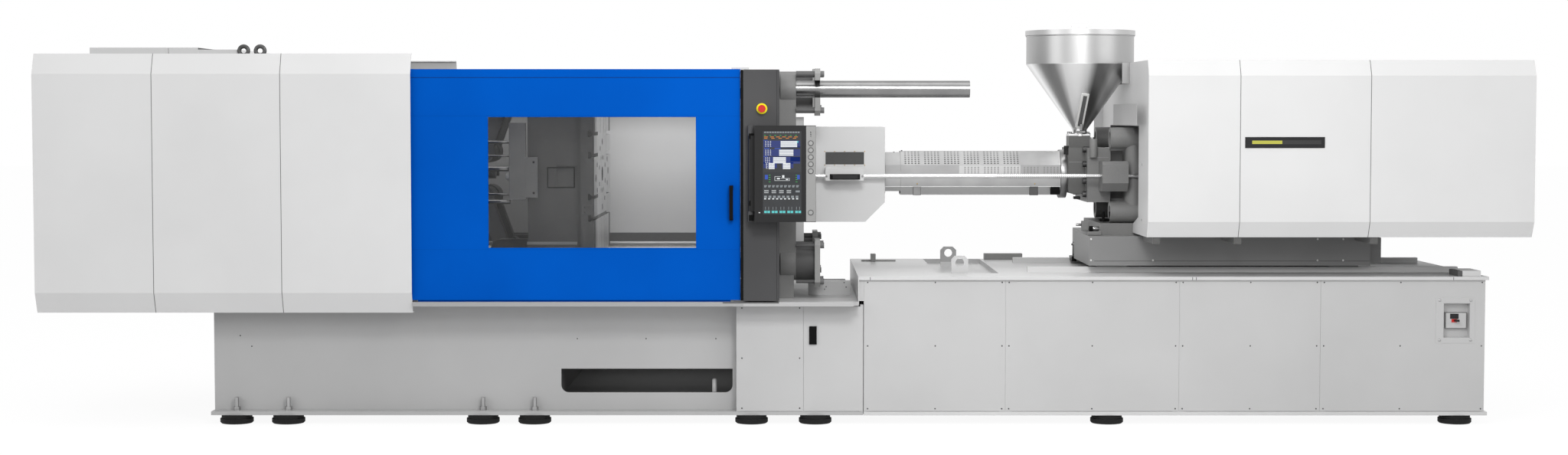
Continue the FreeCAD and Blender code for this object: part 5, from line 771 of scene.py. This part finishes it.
def makeMouldSpace():
    face = {"x": -1155, "half": 636, "thick": 0.6, "slots": (-258, -127, 127, 258), "neck": 11, "corner": 100,
            "web": 330}
    front, neck = face["x"] + face["thick"], face["neck"]
    levels = [edge for slot in face["slots"] for edge in (slot - neck, slot + neck)]
    levels = [-face["half"]] + levels + [face["half"]]
    strips = []
    for low, high in zip(levels[0::2], levels[1::2]):
        # the outer strips are shorter, clear of the tie bars
        reach = face["half"] - face["corner"] * (abs(low + high) > 800)
        strips.append(((face["x"], -reach, axisHeight + low), (front, reach, axisHeight + high)))
    middle = [((face["x"], -face["web"], axisHeight + slot - neck),
               (front, face["web"], axisHeight + slot + neck))
              for slot in face["slots"]]
    pierce(blockSet("platen_face", "milledFace", "moving_platen", strips + middle, 0.3))
    # holes in the face: place along Y, height above the middle line, radius
    holes = [(0, 204, 20), (-167, 163, 16), (0, 102, 14), (-400, 66, 16), (220, 53, 15), (400, 87, 18),
             (-500, -15, 23), (-235, 44, 15),
             (0, 0, 46), (470, 10, 22), (-235, -58, 15), (220, -49, 15), (-400, -92, 16), (400, -68, 16),
             (0, -103, 14),
             (190, -160, 16), (0, -209, 20)]
    pierce(drumSet("platen_holes", "gapBlack", "moving_platen", "x",
                   [((-1154.2, y, axisHeight + z), r, 1.2) for y, z, r in holes], 0.2, 20))
    grooves = [((-1155, y - 2, low), (-1153.8, y + 2, high)) for y in (-260, -125, 136, 290) for low,
               high in ((990, 1225), (1745, 1960))]
    blockSet("platen_grooves", "shadowGrey", "moving_platen", grooves, 0.2)
    # the bracket on the platen's side, its screws, the cast recess and the small cover beside the slots
    bracket = [((-1672, -640, 1340), (-1570, -602, 1810)), ((-1572, -640, 1352), (-1496, -632, 1600))]
    blockSet("platen_bracket", "castPaint", "moving_platen", bracket, 3, 2)
    drumSet("bracket_screws", "blackOxide", "moving_platen", "y",
            [((-1522, -641, z), 7, 4) for z in (1383, 1570)], 1, 16)
    rim, left, right, low, high = 7, -1444, -1275, 1412, 1540
    frameParts = [((left, -602, low), (right, -599.5, low + rim)),
                  ((left, -602, high - rim), (right, -599.5, high)),
                  ((left, -602, low), (left + rim, -599.5, high)),
                  ((right - rim, -602, low), (right, -599.5, high))]
    blockSet("platen_recess", "blackOxide", "moving_platen", frameParts, 1.2)
    # a light line along the platen's foot: painted highlight on its lower edge
    blockSet("platen_foot_highlight", "panelStrip", "moving_platen", [((-1568, -603, 1066), (-1262, -600, 1084))],
             1)
    blockSet("slot_cover", "platenPaint", "moving_platen", [((-1232, -641, 1249), (-1157, -638, 1311))], 1)
    drumSet("slot_cover_screws", "blackOxide", "moving_platen", "y",
            [((-1212, -641.5, z), 4, 2) for z in (1264, 1294)], 0.4, 12)
    # guide bars of the ejector, seen between the bracket and the gate
    bars = [((-1755, -470, 1690), 9, 150), ((-1755, -470, 1606), 6, 150), ((-1755, -500, 1527), 16, 150),
            ((-1755, -470, 1370), 8, 150),
            ((-1755, -500, 1325), 14, 150)]
    drumSet("ejector_bars", "tieBarChrome", "moving_platen", "x", bars, 1, 20)
    bpy.ops.mesh.primitive_uv_sphere_add(segments=24, ring_count=14, radius=26 * mm,
                                         location=(-1.69, -0.5, 1.478))
    knob = bpy.context.object
    knob.scale = (0.8, 1, 1)
    bpy.ops.object.shade_smooth()
    settle(knob, "ejector_ball", "whitePlastic", "moving_platen")
    # inside the rear gate: a buffer rail with its shadow line
    blockSet("rear_gate_rail", "shadowGrey", "rear_gate", [((-2100, 941, 1003), (-300, 948, 1062))], 1.5)
    blockSet("rear_gate_strip", "milledFace", "rear_gate", [((-2100, 938, 989), (-300, 948, 1002))], 1.5)
    print("mould space made")


makeMouldSpace()


# purge guard: mesh window with its screwed frame, bracket bolts, grip pad, screws on the roof
def makeGuardTrim():
    window = {"left": 257, "right": 496, "low": 1550, "high": 1627, "face": -350, "pitch": 6.0, "wire": 0.9,
              "rim": 8}
    left, right, low, high, rim = (window[key] for key in ("left", "right", "low", "high", "rim"))
    wires = []
    x = left + window["pitch"] / 2
    while x < right:
        wires.append(drum("z", (x, window["face"] + 1.6, (low + high) / 2), window["wire"], high - low, 0, 6))
        x += window["pitch"]
    z = low + window["pitch"] / 2
    while z < high:
        wires.append(drum("x", ((left + right) / 2, window["face"] + 1.6, z), window["wire"], right - left, 0,
                          6))
        z += window["pitch"]
    settle(joinAll(wires), "guard_mesh", "shadowGrey", "purge_guard")
    # a grey sheet just behind the wires: painted shade of the guard's inside, seen through the mesh
    blockSet("guard_mesh_shade_sheet", "shadowGrey", "purge_guard", [((left, -347.4, low), (right, -346.2, high))],
             0.3)
    sides = rimCorners(left - rim, right + rim, low - rim, high + rim, window["face"] - 2.5, window["face"],
                       rim)
    blockSet("guard_window_frame", "guardPaint", "purge_guard", sides, 0.5)
    places = [(x, -353, z) for x in (253, 314, 376, 438, 500) for z in (1546, 1631)]
    copySet("guard_window_screws", "portBrass", "purge_guard", panScrew(3.2, 1.6), places)
    places = [(295, -350, 1521), (453, -350, 1521), (262, -446, 1476), (484, -446, 1476)]
    copySet("guard_bolts", "screwSteel", "purge_guard", socketScrew("y", 7, 6), places)
    blockSet("guard_grip_pad", "blackOxide", "purge_guard", [((282, -447.4, 1459), (469, -446, 1493))], 1.2)
    heads = {"first": 212, "pitch": 16.8, "count": 18}
    places = [(heads["first"] + heads["pitch"] * n, -346, 1778) for n in range(heads["count"])]
    copySet("guard_roof_screws", "guardPaint", "purge_guard", panScrew(5.5, 5.5), places)
    print("guard trim made")


makeGuardTrim()


# barrel cover: punched slots, dents, straps, plug and small screws
def makeBarrelCoverTrim():
    # the slots stand in groups on the cover's slope, which runs between two edges given as (y, z)
    punch = {"firstX": 764, "groupPitch": 124.7, "groups": 6, "columns": 5, "columnPitch": 21, "rows": 7,
             "firstRow": 0.09, "rowPitch": 0.135, "length": 10.5, "height": 9.0, "top": (-75.0, 1628.0),
             "bottom": (-150.0, 1543.0)}
    top, drop = punch["top"], [low - high for high, low in zip(punch["top"], punch["bottom"])]

    def columnsFrom(firstX, groups):
        return [firstX + group * punch["groupPitch"] + column * punch["columnPitch"]
                for group in range(groups) for column in range(punch["columns"])]

    spots = []
    for x in columnsFrom(punch["firstX"], punch["groups"]):
        for row in range(punch["rows"]):
            share = punch["firstRow"] + row * punch["rowPitch"]
            spots.append((x, top[0] + drop[0] * share, top[1] + drop[1] * share))
    bpy.ops.mesh.primitive_cube_add(size=1)
    slot = bpy.context.object
    slot.scale = (punch["length"] * mm, 0.8 * mm, punch["height"] * mm)
    slot.rotation_euler = (math.atan2(75, 85), 0, 0)
    bakePlace()
    bevelEdges(slot, 0.3, 1)
    copySet("cover_punched_slots", "shadowGrey", "carriage", slot, spots)
    # the second row shows only as pale dents on the upright side
    dent = {"firstX": 1134, "groups": 5, "rows": 4, "rowPitch": 11.5, "low": 1524, "length": 9, "height": 7}
    dents = []
    for x in columnsFrom(dent["firstX"], dent["groups"]):
        for row in range(dent["rows"]):
            low = dent["low"] - row * dent["rowPitch"]
            dents.append(((x, -150.4, low), (x + dent["length"], -149.6, low + dent["height"])))
    blockSet("cover_dents", "coverDent", "carriage", dents, 0.2)
    # straps under the cover, the plug, the screws above them and two knobs on top
    blockSet("cover_strap_left", "coverDent", "carriage", [((812, -152, 1352), (861, -128, 1407))], 2)
    blockSet("cover_strap_right", "shadowGrey", "carriage", [((1545, -152, 1352), (1599, -128, 1407))], 2)
    blockSet("cover_plug", "gapBlack", "carriage", [((1677, -153, 1356), (1736, -120, 1406))], 4, 2)
    copySet("cover_screws", "portBrass", "carriage", panScrew(4, 2), [(x, -150.5, 1424) for x in (838, 1578)])
    drumSet("cover_knobs", "blackOxide", "carriage", "z",
            [((744, -60, 1630), 5, 8), ((695, -60, 1622), 4, 6)], 1, 12)
    print("barrel cover trim made")


makeBarrelCoverTrim()


# feed throat and front plate: ring, bolts, cooling fitting, flange, knobs and hose ends
def makeThroatTrim():
    ring = {"x": 1764, "radius": 153.5, "width": 42}
    drumSet("throat_ring", "groundSteel", "carriage", "x",
            [((ring["x"], 0, axisHeight), ring["radius"], ring["width"])], 3, 96)
    places = [(1889, side * 235, z) for side in (-1, 1) for z in (1619, 1528, 1423, 1340)]
    copySet("throat_bolts", "darkSteel", "carriage", socketScrew("x", 19, 44, -1, 24), places)
    blockSet("throat_blocks", "blackOxide", "carriage",
             [((1758, -171, 1608), (1788, -150, 1664)), ((1822, -165, 1328), (1864, -120, 1345))], 3)
    lines = [((1790, -170.5, 1560), (1886, -169.6, 1562.5)), ((1890, -300.6, 1592), (2020, -299.5, 1594.5))]
    blockSet("throat_joint_lines", "panelStrip", "carriage", lines, 0.3)
    drumSet("cooling_fitting", "castPaint", "carriage", "z", [((1923, -322, 1650), 24, 116)], 4, 32)
    drumSet("cooling_fitting_cap", "screwSteel", "carriage", "z", [((1915, -322, 1713), 14, 12)], 2, 24)
    blockSet("hopper_flange_plate", "milledFace", "carriage", [((1800, -68, 1724.4), (1935, 68, 1737))], 1.5,
             2)
    places = [(x, y, 1737) for x in (1812, 1923) for y in (-56, 56)]
    copySet("hopper_flange_bolts", "screwSteel", "carriage", socketScrew("z", 8, 14, 1, 12), places)
    shutOff = [((1848, -86, 1740), (1904, -66, 1758)), ((1868, -92, 1756), (1884, -70, 1800))]
    blockSet("hopper_shut_off", "tieBarChrome", "carriage", shutOff, 3, 2)
    # three-lobed knobs under the nut block
    knob = {"places": (1985, 2028), "row": -330, "lobes": 3, "reach": 15, "firstLobe": 0.5, "lobeStep": 2.094}
    parts = []
    for x in knob["places"]:
        parts.append(drum("z", (x, knob["row"], 1226), 9, 62, 2, 16))
        for lobe in range(knob["lobes"]):
            angle = lobe * knob["lobeStep"] + knob["firstLobe"]
            lobeX, lobeY = x + knob["reach"] * math.cos(angle), knob["row"] + knob["reach"] * math.sin(angle)
            parts.append(drum("z", (lobeX, lobeY, 1204), 10, 20, 4, 16))
    settle(joinAll(parts), "clamp_knobs", "gapBlack", "carriage")
    # hose ends on the sled
    drumSet("hose_ends", "tieBarChrome", "carriage", "x",
            [((1922, -452, 1156), 14, 40), ((1826, -382, 1178), 8, 34)], 2, 20)
    drumSet("hose_sleeves", "gapBlack", "carriage", "x", [((1893, -452, 1156), 17, 22)], 2, 20)
    blockSet("hose_block", "castPaint", "carriage",
             [((1842, -400, 1140), (1888, -362, 1202)), ((1872, -470, 1116), (1955, -430, 1140))], 4, 2)
    print("throat trim made")


makeThroatTrim()


# hopper: sight slot on the cone, rim bead
def makeHopperTrim():
    sight = {"x": hopperX, "lean": math.atan2(293, 412), "middle": (-130, 1884), "long": 262, "wide": 50,
             "glass": 26, "turn": 0.1}
    # name, finish, width, thickness, length, distance from the cone, rounding of the edges
    layers = (("sight_slot_frame", "whitePlastic", sight["wide"], 6, sight["long"], 2, 10.0),
              ("sight_slot_glass", "shadowGrey", sight["wide"] - sight["glass"], 3, sight["long"] - 30, 6,
               0.8))
    for name, finishName, wide, thick, long, lift, edge in layers:
        piece = slab((-wide / 2, -thick / 2, -long / 2), (wide / 2, thick / 2, long / 2), edge, 3)
        piece.rotation_euler = (sight["lean"], sight["turn"], 0)
        piece.location = (sight["x"] * mm, (sight["middle"][0] - lift) * mm,
                          (sight["middle"][1] - lift * 0.6) * mm)
        settle(piece, name, finishName, "carriage")
    bpy.ops.mesh.primitive_torus_add(major_radius=340 * mm, minor_radius=4 * mm, major_segments=96,
                                     minor_segments=10,
                                     location=(sight["x"] * mm, 0, 2.352))
    bead = bpy.context.object
    bead.scale = (1, 1, 0.7)
    bpy.ops.object.shade_smooth()
    settle(bead, "hopper_rim_bead", "brushedStainless", "carriage")
    print("hopper trim made")


makeHopperTrim()


# sled: screws, jack and the line along its edge
def makeSledTrim():
    places = [(x, -560.5, z) for x in (1880, 2260, 3267, 3424) for z in (1098, 968)]
    copySet("sled_screws", "whitePlastic", "carriage", panScrew(6, 3), places)
    drumSet("sled_jack", "tieBarChrome", "carriage", "z",
            [((1893, 400, 985), 9, 90), ((1893, 400, 1012), 16, 12)], 1.5, 20)
    blockSet("sled_jack_blocks", "blackOxide", "carriage", [((1872, 330, 905), (1904, 470, 938))], 3, 2)
    blockSet("sled_edge_line", "shadowGrey", "carriage", [((1900, -561, 962), (3585, -559.6, 965))], 0.3)
    print("sled trim made")


makeSledTrim()


# beds: screws, marks on the lip, the breaker's frame, fittings on the deck, screws of tray and webs
def makeBedTrim():
    screws = {"columns": (502, 908, 1309, 1351, 1851, 2352, 2394, 2800, 3199, 3241, 3700, 4188),
              "rows": (854, 472, 93), "leftColumns": (-253, 94), "leftRows": (700, 398, 96)}
    places = [(x, -860.4, z) for x in screws["columns"] for z in screws["rows"]]
    places += [(x, -860.4, z) for x in screws["leftColumns"] for z in screws["leftRows"]]
    copySet("bed_screws", "darkSteel", "frame", panScrew(4.5, 1.8), places)
    marks = [((x - 1.5, -876.4, 869), (x + 1.5, -875.6, 887)) for x in (517, 2448, 2470, 4012)]
    blockSet("deck_lip_marks", "gapBlack", "frame", marks, 0.3)
    breaker = {"left": 3912, "right": 4146, "low": 488, "high": 764, "holeLeft": 3958, "holeRight": 4118,
               "holeLow": 520, "holeHigh": 729, "front": -861.6, "back": -860}
    left, right, low, high, holeLeft, holeRight, holeLow, holeHigh, front, back = breaker.values()
    rim = [((left, front, low), (holeLeft, back, high)), ((holeRight, front, low), (right, back, high)),
           ((holeLeft, front, low), (holeRight, back, holeLow)),
           ((holeLeft, front, holeHigh), (holeRight, back, high))]
    blockSet("breaker_frame", "basePaint", "frame", rim, 0.4)
    places = [(x, front, z) for x in (3935, 4122) for z in (506, 746)]
    copySet("breaker_screws", "screwSteel", "frame", panScrew(9, 4), places)
    blockSet("breaker_red", "stopRed", "frame", [((4012, -841, 612), (4046, -839.2, 632))], 0.6)
    blockSet("breaker_black", "blackPlastic", "frame", [((4004, -843, 634), (4054, -839.2, 664))], 0.8)
    edges = [((3975, -840.4, 575), (3979, -839.6, 673)), ((4100, -840.4, 575), (4104, -839.6, 673)),
             ((3979, -840.4, 669), (4100, -839.6, 673)), ((3979, -840.4, 575), (4100, -839.6, 578))]
    blockSet("breaker_edges", "shadowGrey", "frame", edges, 0.3)
    blockSet("deck_end_cover", "deckPaint", "frame", [((4070, -858, 889), (4180, -640, 924))], 2, 2)
    blockSet("deck_end_buffer", "shadowGrey", "frame", [((4044, -850, 889), (4070, -660, 922))], 3, 2)
    blockSet("deck_rear_bar", "panelStrip", "frame", [((1340, 770, 889), (1596, 830, 930))], 3, 2)
    blockSet("deck_post", "panelStrip", "frame",
             [((572, 560, 889), (606, 600, 941)), ((511, 590, 889), (739, 610, 899))], 2)
    blockSet("bed_corner_strip", "basePaint", "frame", [((446, -860, 742), (479.4, -857, 868))], 0.2)
    places = [(x, -346, z) for x, z in ((252, 774), (374, 816), (262, 790), (386, 788))]
    copySet("tray_screws", "darkSteel", "frame", panScrew(4, 2), places)
    places = [(x, -761, z) for x, z in ((-3288, 525), (-3219, 460), (-1250, 506), (-834, 506), (-412, 506))]
    copySet("web_screws", "darkSteel", "frame", panScrew(4, 2), places)
    drumSet("chute_pin", "deckPaint", "frame", "z", [((-425, -640, 205), 14, 92)], 9, 20)
    print("bed trim made")


makeBedTrim()


# touch screws: their threads, and the two screws on the hood's end
def makeRodTrim():
    # the thread is drawn as shallow rings on the last part of the rod
    thread = {"first": 1315, "pitch": 12.7, "count": 44, "radius": 13.25, "width": 7.0, "row": 400,
              "height": 1480}
    for side, body in ((-1, "touch_screw_front"), (1, "touch_screw_rear")):
        places = [(thread["first"] + thread["pitch"] * n, side * thread["row"], thread["height"])
                  for n in range(thread["count"])]
        rings = [(place, thread["radius"], thread["width"]) for place in places]
        drumSet(body + "_thread", "threadBright", body, "x", rings, 0.2, 24)
    places = [(2158, -762, z) for z in (1556, 1222)]
    copySet("hood_end_screws", "screwSteel", "carriage", socketScrew("x", 7, 5), places)
    print("rod trim made")


makeRodTrim()
